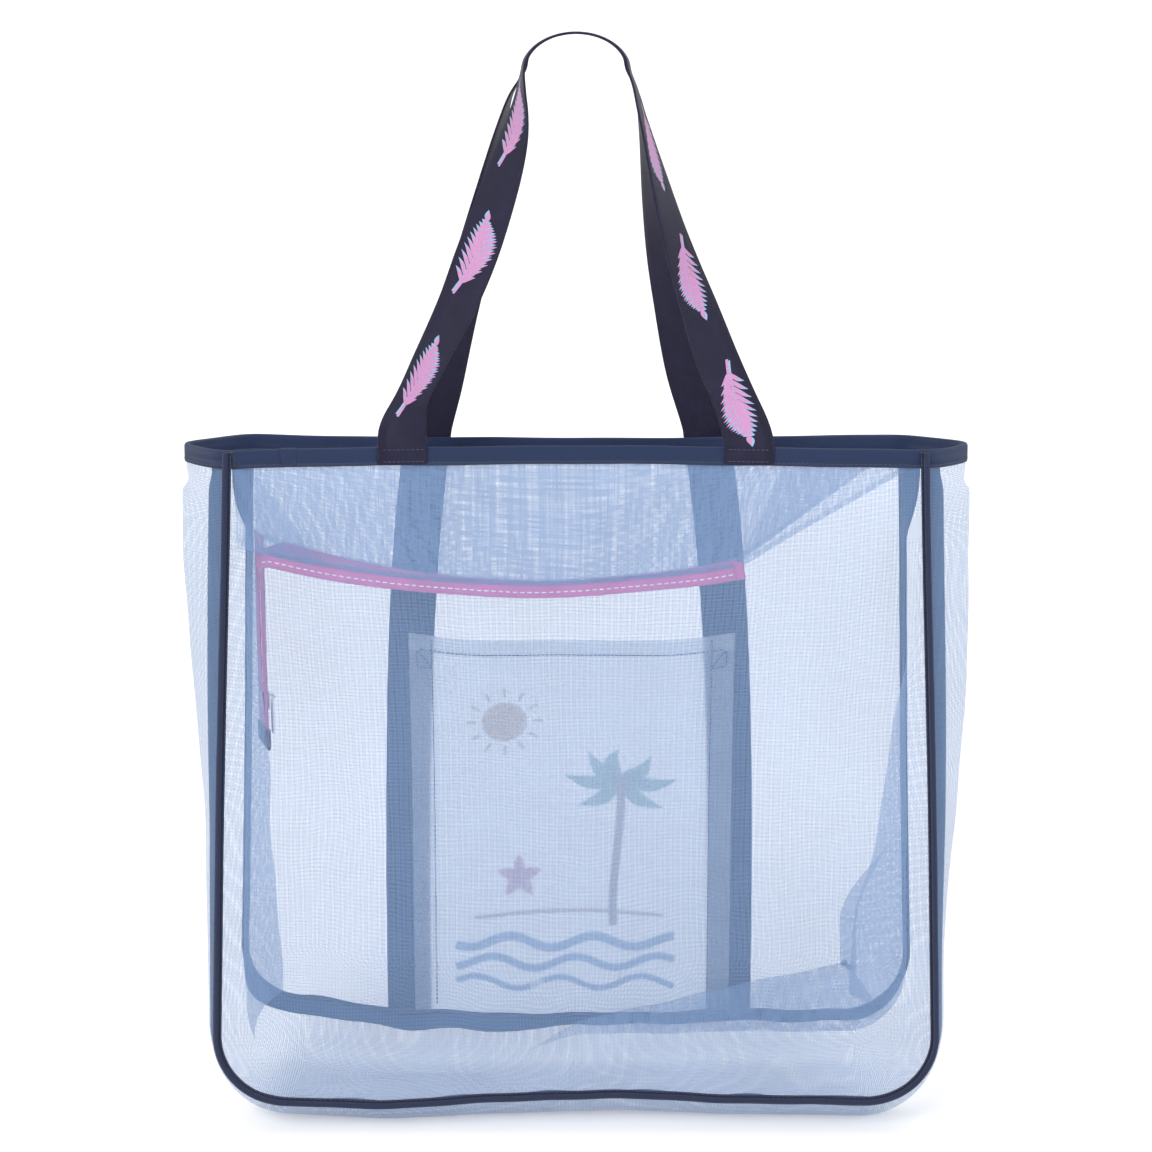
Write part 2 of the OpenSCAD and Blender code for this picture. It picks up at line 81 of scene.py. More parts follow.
BAG_H = box_mm("top_binding_back")[1][2]
BINDING_H = BAG_H - box_mm("top_binding_back")[0][2]
ARCH_TOP = {-1: box_mm("back_handle")[1][2], 1: box_mm("front_handle")[1][2]}
POCKET_LOW, POCKET_HIGH = box_mm("front_pocket")
BACK, FRONT = -1, 1
TOP_HALF_W, BOTTOM_HALF_W = 224.0, 243.0
CORNER_R = 45.0
SEAM_Z = {BACK: 22.0, FRONT: 37.0}
# The cloth's upper edge, inside the binding
CLOTH_TOP_Z = BAG_H - 1.6
TIP_OUT = 35.0
SEAM_Y, BELLY_Y = 52.0, 50.0
MOUTH_CORNER_Y = 42.0
MOUTH_Y = {BACK: 19.0, FRONT: 22.0}
HOLD_Z, PINCH_Z, CREASE_TOP_Z = BAG_H - 14.0, 200.0, 385.0
ARC_AT, SIDE_AT = 0.3, 0.42
BINDING_HALF = 1.9
WEBBING_W, WEBBING_T = 32.0, 1.5
WEBBING_OFF = BINDING_HALF + 0.15 + WEBBING_T / 2
POCKET_X, POCKET_HALF_W, POCKET_TOP_Z = -3.0, 114.0, POCKET_HIGH[2]
POCKET_OPEN, POCKET_SAG, POCKET_FLAT = 16.0, 9.0, 0.75
ZIP_LOW_Z, ZIP_RIGHT_X, FLAP_RIGHT_X = 367.0, 110.0, 214.0
TAIL_XY = np.array([-215.5, 17.0])
TAIL_TURN = math.radians(111.0)
COIL_TOP_Z, COIL_END_Z = 384.0, 272.5


def ease(t):
    c = np.clip(t, 0.0, 1.0)
    return c * c * (3 - 2 * c)


def mix(a, b, t):
    return a + (b - a) * t


def unit(v):
    v = np.asarray(v, float)
    return v / np.maximum(np.linalg.norm(v, axis=-1, keepdims=True), 1e-12)


def half_w(z):
    """Half the bag's width at height z."""
    return mix(BOTTOM_HALF_W, TOP_HALF_W, z / BAG_H)


def pinch(z):
    """0 low down, and 1 where the mouth draws the two panels together."""
    return ease((z - PINCH_Z) / (HOLD_Z - PINCH_Z))


def panel_y(side, x, z):
    """Distance of a panel from the middle plane, signed."""
    mid = mix(BELLY_Y, MOUTH_Y[side], pinch(z))
    edge = mix(SEAM_Y, MOUTH_CORNER_Y, pinch(z))
    return side * (mid + (edge - mid) * (x / half_w(z)) ** 2)


def corner_angle(a):
    """Degrees turned round the corner, from 0 along the bottom to 90 up the side."""
    return 90.0 * np.clip((a - ARC_AT) / (SIDE_AT - ARC_AT), 0.0, 1.0)


def seam_xz(u, side):
    """Points along a seam, from the left mouth corner at u = -1 to the right one at 1."""
    u = np.asarray(u, float)
    a, s, z0 = np.abs(u), np.where(u < 0, -1.0, 1.0), SEAM_Z[side]
    flat = half_w(z0 + CORNER_R) - CORNER_R
    turn = np.radians(corner_angle(a))
    side_z = mix(z0 + CORNER_R, BAG_H, (a - SIDE_AT) / (1 - SIDE_AT))
    runs = [a <= ARC_AT, a <= SIDE_AT]
    x = np.select(runs, [flat * a / ARC_AT, flat + CORNER_R * np.sin(turn)], half_w(side_z))
    z = np.select(runs, [z0, z0 + CORNER_R * (1 - np.cos(turn))], side_z)
    return s * x, z


def seam_point(u, side):
    x, z = seam_xz(u, side)
    return np.stack([x, panel_y(side, x, z), z], -1)


def seam_out(u):
    """Unit vectors that point out of the bag in the seam's plane."""
    turn = np.radians(corner_angle(np.abs(u)))
    side = np.where(np.asarray(u) < 0, -1.0, 1.0)
    return np.stack([side * np.sin(turn), np.zeros_like(turn), -np.cos(turn)], -1)


def side_u(z):
    """The seam position at height z on a straight side."""
    return mix(SIDE_AT, 1.0, (z - SEAM_Z[BACK] - CORNER_R) / (BAG_H - SEAM_Z[BACK] - CORNER_R))


# ---------------------------------------------------------------- mesh helpers


def make_piece(name, points, faces, material, body="bag", slot=None, uv=None):
    """A mesh object from points in millimetres. uv, if given, is one pair per point, in metres of cloth."""
    mesh = bpy.data.meshes.new(name)
    verts = [tuple(p) for p in np.asarray(points, float) * MM]
    mesh.from_pydata(verts, [], [tuple(int(i) for i in face) for face in faces])
    if uv is not None:
        layer = mesh.uv_layers.new(name="UVMap")
        index = np.empty(len(mesh.loops), int)
        mesh.loops.foreach_get("vertex_index", index)
        layer.data.foreach_set("uv", uv[index].ravel())
    mesh.polygons.foreach_set("use_smooth", [True] * len(mesh.polygons))
    mesh.materials.append(material)
    mesh.update()
    piece = bpy.data.objects.new(name, mesh)
    bpy.context.scene.collection.objects.link(piece)
    if body:
        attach(piece, body)
    return piece


def grid_faces(rows, columns, flip=False, wrap_rows=False, wrap_columns=False):
    faces = []
    for i in range(rows if wrap_rows else rows - 1):
        for j in range(columns if wrap_columns else columns - 1):
            i2, j2 = (i + 1) % rows, (j + 1) % columns
            face = (i * columns + j, i2 * columns + j, i2 * columns + j2, i * columns + j2)
            faces.append(face[::-1] if flip else face)
    return faces


def lengths(points):
    """Distance along a line of points."""
    steps = np.linalg.norm(np.diff(points, axis=0), axis=1)
    return np.concatenate([[0.0], np.cumsum(steps)])


def cloth_uv(grid):
    """Cloth coordinates of a grid in metres: across from its middle row, along from its middle column."""
    rows, columns = grid.shape[:2]
    u = lengths(grid[rows // 2])
    v = lengths(grid[:, columns // 2])
    u, v = u - u[columns // 2], v - v[rows // 2]
    return np.stack(np.broadcast_arrays(u[None, :], v[:, None]), -1).reshape(-1, 2) * MM


def cloth(name, grid, material, uv=None, **kw):
    """A single sheet of cloth over a grid of points."""
    rows, columns = grid.shape[:2]
    uv = cloth_uv(grid) if uv is None else uv
    return make_piece(name, grid.reshape(-1, 3), grid_faces(rows, columns), material, uv=uv, **kw)


def catmull(keys, count):
    """A smooth line through keys, spaced evenly by its own parameter. Each key may hold more than a place."""
    keys = np.asarray(keys, float)
    gaps = np.linalg.norm(np.diff(keys[:, :3], axis=0), axis=1)
    knots = np.concatenate([[0.0], np.cumsum(np.sqrt(gaps))])
    ends = np.vstack([2 * keys[0] - keys[1], keys, 2 * keys[-1] - keys[-2]])
    times = np.concatenate([[2 * knots[0] - knots[1]], knots, [2 * knots[-1] - knots[-2]]])
    out = []
    for t in np.linspace(knots[0], knots[-1], count):
        k = int(np.clip(np.searchsorted(knots, t, side="right") - 1, 0, len(keys) - 2))
        points, at = ends[k:k + 4], times[k:k + 4]
        for spans in (((0, 1), (1, 2), (2, 3)), ((0, 2), (1, 3)), ((1, 2),)):
            points = [mix(points[i], points[i + 1], (t - at[a]) / (at[b] - at[a]))
                      for i, (a, b) in enumerate(spans)]
        out.append(points[0])
    return np.array(out)


def even(points, step):
    """The same line with points an even step apart."""
    run = lengths(points[:, :3])
    count = max(2, int(round(run[-1] / step)) + 1)
    at = np.linspace(0, run[-1], count)
    return np.stack([np.interp(at, run, points[:, k]) for k in range(points.shape[1])], -1)


def tangents(points):
    return unit(np.gradient(points, axis=0))


def squared(vectors, t):
    """Unit vectors square to t, each as near as can be to the given one."""
    return unit(vectors - (vectors * t).sum(-1, keepdims=True) * t)


def sweep(name, path, normals, section, material, closed=False, **kw):
    """A section of (normal, side) pairs swept along a path. normals is one vector, or one for each point."""
    path, section = np.asarray(path, float), np.asarray(section, float)
    t = unit(np.roll(path, -1, 0) - np.roll(path, 1, 0)) if closed else tangents(path)
    normals = squared(np.broadcast_to(normals, path.shape), t)
    sides = np.cross(t, normals)
    count = len(section)
    rings = path[:, None] + normals[:, None] * section[None, :, :1] + sides[:, None] * section[None, :, 1:]
    faces = grid_faces(len(path), count, flip=True, wrap_rows=closed, wrap_columns=True)
    if not closed:
        last = (len(path) - 1) * count
        faces += [tuple(range(count)), tuple(range(last + count - 1, last - 1, -1))]
    along, around = np.broadcast_arrays(lengths(path)[:, None], lengths(section)[None, :])
    uv = np.stack([along, around], -1).reshape(-1, 2) * MM
    return make_piece(name, rings.reshape(-1, 3), faces, material, uv=uv, **kw)


def rounded_strip(width, thickness, steps=4):
    """Section of a flat strip with rounded edges, as (normal, side) pairs."""
    r = thickness / 2
    half = width / 2 - r
    right = [(r * math.cos(a), half + r * math.sin(a)) for a in np.linspace(0, math.pi, steps + 1)]
    left = [(-n, -s) for n, s in right]
    mid = np.linspace(-half, half, 7)[1:-1]
    return [(r, s) for s in mid] + right + [(-r, -s) for s in mid] + left


def disc_section(radius, steps=12):
    turns = np.linspace(0, 2 * math.pi, steps, endpoint=False)
    return [(radius * math.cos(a), radius * math.sin(a)) for a in turns]


def wrapped_section(outer, inner):
    """Section of a tape folded over an edge, from the right halves of its outer and inner faces."""
    outer_left, inner_left = ([(-n, s) for n, s in half[::-1]] for half in (outer, inner))
    return outer + [(0, 0)] + outer_left + inner_left + inner


def stitches(name, points, normals, material, radius, length=2.6, pitch=3.4, height=0.24, **kw):
    """A row of stitches along a line: each one is a small rounded lozenge that dips at its ends."""
    line = even(np.hstack([points, np.broadcast_to(normals, np.shape(points))]), 0.4)
    run = lengths(line[:, :3])
    # Place along the stitch, thickness and height, as shares, for one half of it
    half = [(0.5, 0.25, -0.5), (0.36, 0.85, 0.35), (0.12, 1.0, 0.9)]
    shape = [(-along, fat, lift) for along, fat, lift in half] + half[::-1]
    ring = disc_section(1.0, 6)
    verts, faces = [], []
    for start in np.arange(pitch * 0.5, run[-1] - length, pitch):
        at = [start + (s + 0.5) * length for s, _, _ in shape]
        mid = np.stack([np.interp(at, run, line[:, k]) for k in range(6)], -1)
        t = unit(mid[-1, :3] - mid[0, :3])
        n = unit(mid[:, 3:])
        side = unit(np.cross(t, n))
        base = len(verts)
        for k, (_, fat, lift) in enumerate(shape):
            for c, s in ring:
                rise = lift * height + c * radius * fat * 0.7
                verts.append(mid[k, :3] + n[k] * rise + side[k] * s * radius * fat)
        for k in range(len(shape) - 1):
            for j in range(6):
                a, b = base + k * 6 + j, base + k * 6 + (j + 1) % 6
                faces.append((a, b, b + 6, a + 6))
        faces.append(tuple(base + j for j in range(5, -1, -1)))
        faces.append(tuple(base + (len(shape) - 1) * 6 + j for j in range(6)))
    return make_piece(name, verts, faces, material, **kw)


# ---------------------------------------------------------------- materials


class Shader:
    """A Principled material with short calls for adding procedural detail in cloth coordinates."""

    def __init__(self, name, colour, roughness=0.8, **sockets):
        self.material = bpy.data.materials.new(name)
        self.material.use_nodes = True
        self.tree = self.material.node_tree
        self.bsdf = self.tree.nodes["Principled BSDF"]
        self.set("Base Color", (*colour, 1.0))
        self.set("Roughness", roughness)
        for key, value in sockets.items():
            self.set(key.replace("_", " "), value)
        self.source = self.node("ShaderNodeTexCoord")

    def set(self, socket, value):
        self.bsdf.inputs[socket].default_value = value

    def link(self, source, target):
        self.tree.links.new(source, target)

    def node(self, kind, **settings):
        node = self.tree.nodes.new(kind)
        for key, value in settings.items():
            setattr(node, key, value)
        return node

    def math(self, operation, a, b=None, c=None):
        node = self.node("ShaderNodeMath", operation=operation)
        for index, value in enumerate((a, b, c)):
            if value is None:
                continue
            if isinstance(value, (int, float)):
                node.inputs[index].default_value = value
            else:
                self.link(value, node.inputs[index])
        return node.outputs[0]

    def uv(self):
        """U and V of the cloth, in metres."""
        split = self.node("ShaderNodeSeparateXYZ")
        self.link(self.source.outputs["UV"], split.inputs[0])
        return split.outputs[0], split.outputs[1]

    def wave(self, coordinate, pitch):
        """A sine of that pitch in millimetres, from -1 to 1."""
        return self.math("SINE", self.math("MULTIPLY", coordinate, 2 * math.pi / (pitch * MM)))

    def noise(self, scale_mm, detail=3.0, space="UV"):
        texture = self.node("ShaderNodeTexNoise")
        texture.inputs["Scale"].default_value = 1.0 / (scale_mm * MM)
        texture.inputs["Detail"].default_value = detail
        texture.inputs["Roughness"].default_value = 0.55
        self.link(self.source.outputs[space], texture.inputs["Vector"])
        return texture.outputs["Fac"]

    def tint(self, factor, dark, light, low=0.3, high=0.7):
        """A base colour that goes from dark to light as the factor goes from low to high."""
        ramp = self.node("ShaderNodeValToRGB")
        for end, place, colour in zip(ramp.color_ramp.elements, (low, high), (dark, light)):
            end.position = place
            end.color = (*colour, 1.0)
        self.link(factor, ramp.inputs[0])
        self.link(ramp.outputs["Color"], self.bsdf.inputs["Base Color"])

    def vary(self, factor, colour, dark, light, low=0.3, high=0.7):
        """The same, between two shades of one colour."""
        self.tint(factor, shade(colour, dark), shade(colour, light), low, high)

    def bump(self, height, distance_mm, strength=1.0):
        node = self.node("ShaderNodeBump")
        node.inputs["Distance"].default_value = distance_mm * MM
        node.inputs["Strength"].default_value = strength
        self.link(height, node.inputs["Height"])
        self.link(node.outputs[0], self.bsdf.inputs["Normal"])


def shade(colour, factor):
    return tuple(min(1.0, c * factor) for c in colour)


def mesh_cloth(name, colour, pitch=0.95):
    """Open plain weave: fine threads both ways, with clear holes between them."""
    thread_share, thread_alpha = 0.25, 0.78
    m = Shader(name, colour, roughness=0.55, Sheen_Weight=0.15, Sheen_Roughness=0.4)
    u, v = m.uv()
    drift = m.math("MULTIPLY", m.math("SUBTRACT", m.noise(120.0, detail=1.0), 0.5), 0.0014)
    strand = []
    for coordinate in (u, v):
        moved = m.math("ADD", coordinate, drift)
        fold = m.math("PINGPONG", m.math("ADD", moved, 10.0), pitch * MM / 2)
        strand.append(m.math("LESS_THAN", fold, thread_share * pitch * MM / 2))
    cover = m.math("MAXIMUM", strand[0], strand[1])
    m.link(m.math("MULTIPLY", cover, thread_alpha), m.bsdf.inputs["Alpha"])
    m.vary(m.noise(55.0, detail=2.0), colour, 0.93, 1.06)
    ripple = m.math("MULTIPLY", m.wave(u, pitch), m.wave(v, pitch))
    m.bump(ripple, 0.08, 0.5)
    return m.material


def twill(name, colour, pitch=1.1, band=6.0, depth=0.16, light=1.35):
    """Herringbone tape: diagonal ribs that change direction from band to band."""
    m = Shader(name, colour, roughness=0.78, Sheen_Weight=0.12, Sheen_Roughness=0.45, Specular_IOR_Level=0.3)
    u, v = m.uv()
    zigzag = m.math("PINGPONG", m.math("ADD", v, 10.0), band * MM / 2)
    rib = m.wave(m.math("ADD", u, zigzag), pitch)
    yarn = m.wave(u, 0.45)
    level = m.math("MULTIPLY_ADD", rib, 0.4, 0.5)
    m.vary(level, colour, 0.72, light, 0.1, 0.9)
    m.bump(m.math("MULTIPLY_ADD", yarn, 0.15, rib), depth)
    return m.material


def webbing(name, colour):
    """Flat webbing: close ribs across it, with faint warp lines along it."""
    m = Shader(name, colour, roughness=0.6, Sheen_Weight=0.12, Sheen_Roughness=0.35, Specular_IOR_Level=0.22)
    u, v = m.uv()
    rib = m.wave(u, 0.9)
    warp = m.wave(v, 0.8)
    weave = m.math("MULTIPLY_ADD", m.math("MULTIPLY", rib, warp), 0.5, m.math("MULTIPLY", rib, 0.5))
    patch = m.noise(14.0, detail=4.0)
    level = m.math("MULTIPLY_ADD", weave, 0.22, patch)
    m.vary(level, colour, 0.78, 1.3, 0.25, 0.8)
    m.bump(weave, 0.12)
    return m.material


def thread(name, colour):
    m = Shader(name, colour, roughness=0.55, Sheen_Weight=0.3, Sheen_Roughness=0.4)
    m.vary(m.noise(1.2, space="Object"), colour, 0.8, 1.15)
    m.bump(m.noise(0.5, detail=2.0, space="Object"), 0.05)
    return m.material


def plain_cloth(name, colour, pitch=0.5, variation=0.05, **sockets):
    m = Shader(name, colour, roughness=0.85, Sheen_Weight=0.2, Sheen_Roughness=0.5, **sockets)
    u, v = m.uv()
    weave = m.math("MULTIPLY", m.wave(u, pitch), m.wave(v, pitch))
    level = m.math("MULTIPLY_ADD", weave, 0.1, m.noise(20.0, detail=4.0))
    m.vary(level, colour, 1 - variation, 1 + variation)
    m.bump(weave, 0.06, 0.7)
    return m.material


def let_light_through(material, colour, share):
    """Thin cloth that glows a little with the light behind it."""
    tree = material.node_tree
    glow = tree.nodes.new("ShaderNodeBsdfTranslucent")
    glow.inputs["Color"].default_value = (*colour, 1.0)
    blend = tree.nodes.new("ShaderNodeMixShader")
    blend.inputs["Fac"].default_value = share
    tree.links.new(tree.nodes["Principled BSDF"].outputs[0], blend.inputs[1])
    tree.links.new(glow.outputs[0], blend.inputs[2])
    tree.links.new(blend.outputs[0], tree.nodes["Material Output"].inputs["Surface"])
    return material


def print_ink(name, colour):
    """Ink on webbing or cloth: the weave shows through it."""
    m = Shader(name, colour, roughness=0.62, Sheen_Weight=0.1, Sheen_Roughness=0.4)
    speck = m.noise(0.8, space="Object")
    m.vary(speck, colour, 0.82, 1.06)
    m.bump(speck, 0.05)
    return m.material


def metal(name, colour, roughness):
    m = Shader(name, colour, roughness=roughness, Metallic=1.0)
    wear = m.noise(2.5, detail=5.0, space="Object")
    m.vary(wear, colour, 0.8, 1.1)
    m.bump(wear, 0.02)
    return m.material


def nylon(name, dark, light):
    m = Shader(name, dark, roughness=0.35, Coat_Weight=0.2)
    m.tint(m.noise(3.0, space="Object"), dark, light)
    return m.material


MESH_COLOUR = (0.19, 0.30, 0.51)
NAVY = (0.0105, 0.0235, 0.072)
INK_DARK = (0.0097, 0.0085, 0.0275)
CLOTH = mesh_cloth("pale_blue_mesh", MESH_COLOUR)
FRONT_CLOTH = mesh_cloth("pale_blue_mesh_front", MESH_COLOUR, pitch=0.8)
FLAP_CLOTH = mesh_cloth("pale_blue_mesh_flap", MESH_COLOUR, pitch=0.87)
BINDING = twill("navy_twill", NAVY)
SEAM_TAPE = twill("blue_seam_tape", (0.050, 0.100, 0.200), band=5.0)
PIPING = twill("piping_cover", (0.0115, 0.0175, 0.047), pitch=0.8, band=40.0, depth=0.08, light=1.6)
STRAP = webbing("dark_webbing", INK_DARK)
ZIP_TAPE = plain_cloth("pink_zip_tape", (0.56, 0.14, 0.34), pitch=0.7, variation=0.12)
COIL = nylon("pink_zip_coil", (0.45, 0.15, 0.42), (0.66, 0.27, 0.6))
POCKET = plain_cloth("pocket_cloth", (0.93, 0.96, 0.97), Alpha=0.84)
let_light_through(POCKET, (0.97, 0.985, 1.0), 0.55)
WHITE_THREAD = thread("white_thread", (0.85, 0.86, 0.9))
NAVY_THREAD = thread("navy_thread", (0.03, 0.05, 0.13))
BLUE_THREAD = thread("grey_blue_thread", (0.16, 0.25, 0.42))
PINK_INK = print_ink("pink_print", (0.46, 0.215, 0.41))
BLUE_INK = print_ink("pale_blue_print", (0.22, 0.37, 0.56))
NICKEL = metal("nickel", (0.66, 0.66, 0.70), 0.28)
LABEL = plain_cloth("label_cloth", (0.02, 0.04, 0.20), pitch=0.4)

# ---------------------------------------------------------------- stage and light


def make_stage():
    """A pale floor that curves up into a backdrop far behind the bag."""
    width, front, back, bend, height = 14.0, -4.0, 5.5, 1.6, 7.0
    line = [(front, 0.0), (back, 0.0)]
    turns = np.linspace(0, math.pi / 2, 13)[1:]
    line += [(back + bend * math.sin(a), bend * (1 - math.cos(a))) for a in turns]
    line.append((back + bend, height))
    verts = [(x, y, z) for y, z in line for x in (-width / 2, width / 2)]
    m = Shader("pale_floor", (0.92, 0.92, 0.925), roughness=0.8, Specular_IOR_Level=0.2)
    m.tint(m.noise(600.0, detail=2.0, space="Object"), (0.915, 0.915, 0.92), (0.93, 0.93, 0.935))
    floor = make_piece("floor", np.array(verts) / MM, grid_faces(len(line), 2), m.material, body=None)


def area_light(name, place, target, size, power, colour=(1.0, 1.0, 1.0)):
    data = bpy.data.lights.new(name, "AREA")
    data.shape = "RECTANGLE"
    data.size, data.size_y = size
    data.energy = power
    data.color = colour
    light = bpy.data.objects.new(name, data)
    light.location = place
    aim = Vector(target) - Vector(place)
    light.rotation_euler = aim.to_track_quat("-Z", "Y").to_euler()
    bpy.context.scene.collection.objects.link(light)


make_stage()
area_light("key", (-1.6, -2.2, 2.3), (0, 0, 0.35), (1.8, 1.8), 78.0, (1.0, 0.985, 0.97))
area_light("fill", (2.2, -1.8, 1.5), (0, 0, 0.35), (1.8, 1.8), 42.0, (0.96, 0.98, 1.0))
area_light("top", (0.0, 1.0, 3.4), (0, 1.0, 0.0), (3.0, 3.0), 42.0)
area_light("backdrop", (0.0, 3.2, 3.0), (0, 6.3, 0.9), (5.0, 2.0), 95.0)
world = bpy.data.worlds.new("soft_white")
world.use_nodes = True
sky = world.node_tree.nodes["Background"]
sky.inputs["Color"].default_value = (1.0, 1.0, 1.0, 1.0)
sky.inputs["Strength"].default_value = 0.66
bpy.context.scene.world = world
bpy.context.scene.view_settings.view_transform = "Standard"

# ---------------------------------------------------------------- cloth of the bag


def bottom_wave(x, z, side):
    """Waves of the bottom seam, short and long, which die away up the panel."""
    rise = np.maximum(z - SEAM_Z[side], 0.0)
    wave = (0.9 * np.sin(x / 17.0 + side) + 0.6 * np.sin(x / 7.3 + 2.0 * side)) * np.exp(-rise / 18.0)
    if side == FRONT:
        long_wave = 10.0 * ease((-x - 115) / 85) - 3.0 * np.exp(-((x + 10) / 90.0) ** 2)
        return 0.7 * wave + long_wave * np.exp(-rise / 60.0)
    long_wave = 4.0 * np.exp(-((x - 20) / 75.0) ** 2) - 3.0 * np.exp(-((x + 135) / 50.0) ** 2)
    return 0.3 * wave + long_wave * np.exp(-rise / 30.0)


def waves(a, b, seed, low, high, lean=0.5):
    """A sum of long sines across a and b, about -1 to 1, from a fixed seed."""
    rng, terms = np.random.default_rng(seed), 7
    total = np.zeros(np.broadcast(a, b).shape)
    for _ in range(terms):
        angle = rng.uniform(-lean, lean)
        length = rng.uniform(low, high)
        phase = rng.uniform(0, 2 * math.pi)
        total += np.sin(2 * math.pi * (a * math.cos(angle) + b * math.sin(angle)) / length + phase)
    return total / math.sqrt(terms)


def waved_seam(u, side):
    """Seam points with the waves of the seam added."""
    p = seam_point(u, side)
    p[..., 2] += bottom_wave(p[..., 0], p[..., 2], side)
    return p


def fold(x, z, start, end, width, depth):
    """Depth of a soft straight fold that runs from start to end."""
    start, end = np.array(start, float), np.array(end, float)
    run = end - start
    along = np.clip(((x - start[0]) * run[0] + (z - start[1]) * run[1]) / (run @ run), 0, 1)
    off = np.hypot(x - start[0] - along * run[0], z - start[1] - along * run[1])
    return depth * np.exp(-(off / width) ** 2) * np.sin(math.pi * np.clip(along * 0.9 + 0.05, 0, 1))


# Start, end, width and depth of each panel's folds
PANEL_FOLDS = {
    BACK: [((-196, 105), (-190, 30), 5, 2.4), ((200, 95), (176, 28), 6, -2.6),
           ((214, 130), (205, 60), 5, 2.0), ((-105, 452), (-150, 260), 16, -1.5),
           ((108, 452), (150, 270), 16, 1.5), ((-60, 90), (60, 60), 12, 1.2)],
    FRONT: [((-200, 120), (-188, 45), 6, 2.0), ((196, 130), (185, 48), 7, -2.2),
            ((-100, 452), (-40, 340), 14, 1.4), ((90, 452), (40, 340), 14, -1.4)],
}


def strap_x(s, z):
    """The middle of the left (s = -1) or right front strap at height z."""
    t = (z - SEAM_Z[FRONT]) / (BAG_H - SEAM_Z[FRONT])
    return -121 + 20 * t ** 3 if s < 0 else 111 - 22 * t ** 3


def backed(x, z):
    """1 where the front panel lies against the pocket or a strap, and 0 where it is free."""
    pocket = ease((POCKET_HALF_W + 16 - np.abs(x - POCKET_X)) / 14) * ease((POCKET_TOP_Z + 16 - z) / 14)
    straps = [ease((26 - np.abs(x - strap_x(s, z))) / 9) for s in (-1, 1)]
    return np.maximum(pocket, np.maximum(*straps))


def panel_grid(side):
    """A panel's points, row by row from the mouth down, with its folds."""
    side_rows = np.linspace(side_u(CLOTH_TOP_Z), SIDE_AT, 84)
    arc_rows = np.linspace(SIDE_AT, ARC_AT, 17)[1:]
    us = np.concatenate([side_rows, arc_rows])
    edge_x, edge_z = seam_xz(us, side)
    c = np.linspace(-1, 1, 109)[None, :]
    x = edge_x[:, None] * c
    z = np.broadcast_to(edge_z[:, None], x.shape).copy()
    z += bottom_wave(x, z, side)
    y = panel_y(side, x, z) + side * 0.35
    free = ease((1 - np.abs(c)) * 5) * ease((BAG_H - 14 - z) / 60) * ease((z - SEAM_Z[side] - 2) / 30)
    relief = 1.3 * waves(x, z, 11 + side, 70, 190) + 0.5 * waves(x, z, 21 + side, 26, 60, 1.4)
    for start, end, width, depth in PANEL_FOLDS[side]:
        relief += fold(x, z, start, end, width, depth)
    if side == FRONT:
        relief = mix(relief, -0.45 - 0.25 * waves(x, z, 9, 60, 160), backed(x, z))
    y += side * relief * free
    return np.stack([x, y, z], -1)


def crease_left(z):
    """How deep the gusset's left side folds in at height z, or out where it is negative."""
    return mix(mix(35.0, 10.0, np.clip((z - 71) / 319, 0, 1)), -TIP_OUT, flare(z))


def crease_right(z):
    return mix(mix(49.0, 0.0, np.clip((z - 78) / 262, 0, 1)), -TIP_OUT, flare(z))


def flare(z):
    """0 where the gusset folds in, and 1 where the mouth holds it out."""
    return ease((z - CREASE_TOP_Z) / (HOLD_Z - CREASE_TOP_Z))


# Places across the gusset at which its shape is set, and the places where its mesh has columns
ACROSS = np.array([0, 0.08, 0.2, 0.5, 0.78, 0.92, 1])
RIDGE_AT, FOOT_AT = 0.85, 0.865
COLUMNS = np.concatenate([np.linspace(0, 0.84, 38), [RIDGE_AT, 0.857, FOOT_AT], np.linspace(0.88, 1, 8)])


def smooth_rows(values, at):
    """Rows of values at ACROSS, carried to other places by a cubic that doesn't overshoot."""
    step = np.diff(ACROSS)
    slope = np.diff(values, axis=1) / step
    before, after = slope[:, :-1], slope[:, 1:]
    inner = np.where(before * after > 0, 2 * before * after / (before + after + 1e-12), 0.0)
    d = np.concatenate([slope[:, :1], inner, slope[:, -1:]], axis=1)
    k = np.clip(np.searchsorted(ACROSS, at, side="right") - 1, 0, len(ACROSS) - 2)
    h = step[k]
    t = (at - ACROSS[k]) / h
    return (values[:, k] * (2 * t ** 3 - 3 * t ** 2 + 1) + values[:, k + 1] * (3 * t ** 2 - 2 * t ** 3)
            + d[:, k] * h * (t ** 3 - 2 * t ** 2 + t) + d[:, k + 1] * h * (t ** 3 - t ** 2))


PULL_START_X = -77.0


def lifted(x, at, n, w):
    """The strip where it is pulled in: it climbs to a ridge and drops. w is 1 along the bottom."""
    depth = np.minimum(0.221 * (x - PULL_START_X) - 12, 50.0)[:, None]
    foot = mix(-2.6, 6.0, w)[:, None]
    climb = mix(n, -depth, np.clip((at - 0.25) / (RIDGE_AT - 0.25), 0, 1) ** 1.6)
    drop = mix(-depth, foot, np.clip((at - RIDGE_AT) / (FOOT_AT - RIDGE_AT), 0, 1))
    shelf = mix(foot, 0.0, np.clip((at - FOOT_AT) / (1 - FOOT_AT), 0, 1))
    return np.select([at <= RIDGE_AT, at < FOOT_AT], [climb, drop], shelf)


def pulled_in(x, z):
    """1 where the gusset is pulled in at the bottom right, fading to 0 round about."""
    return ease((x - PULL_START_X) / 90) * (1 - ease((z - 100) / 90))


def bottom_share(us):
    """1 along the bottom, and 0 up the sides."""
    return 1 - ease(corner_angle(np.abs(us)) / 90)


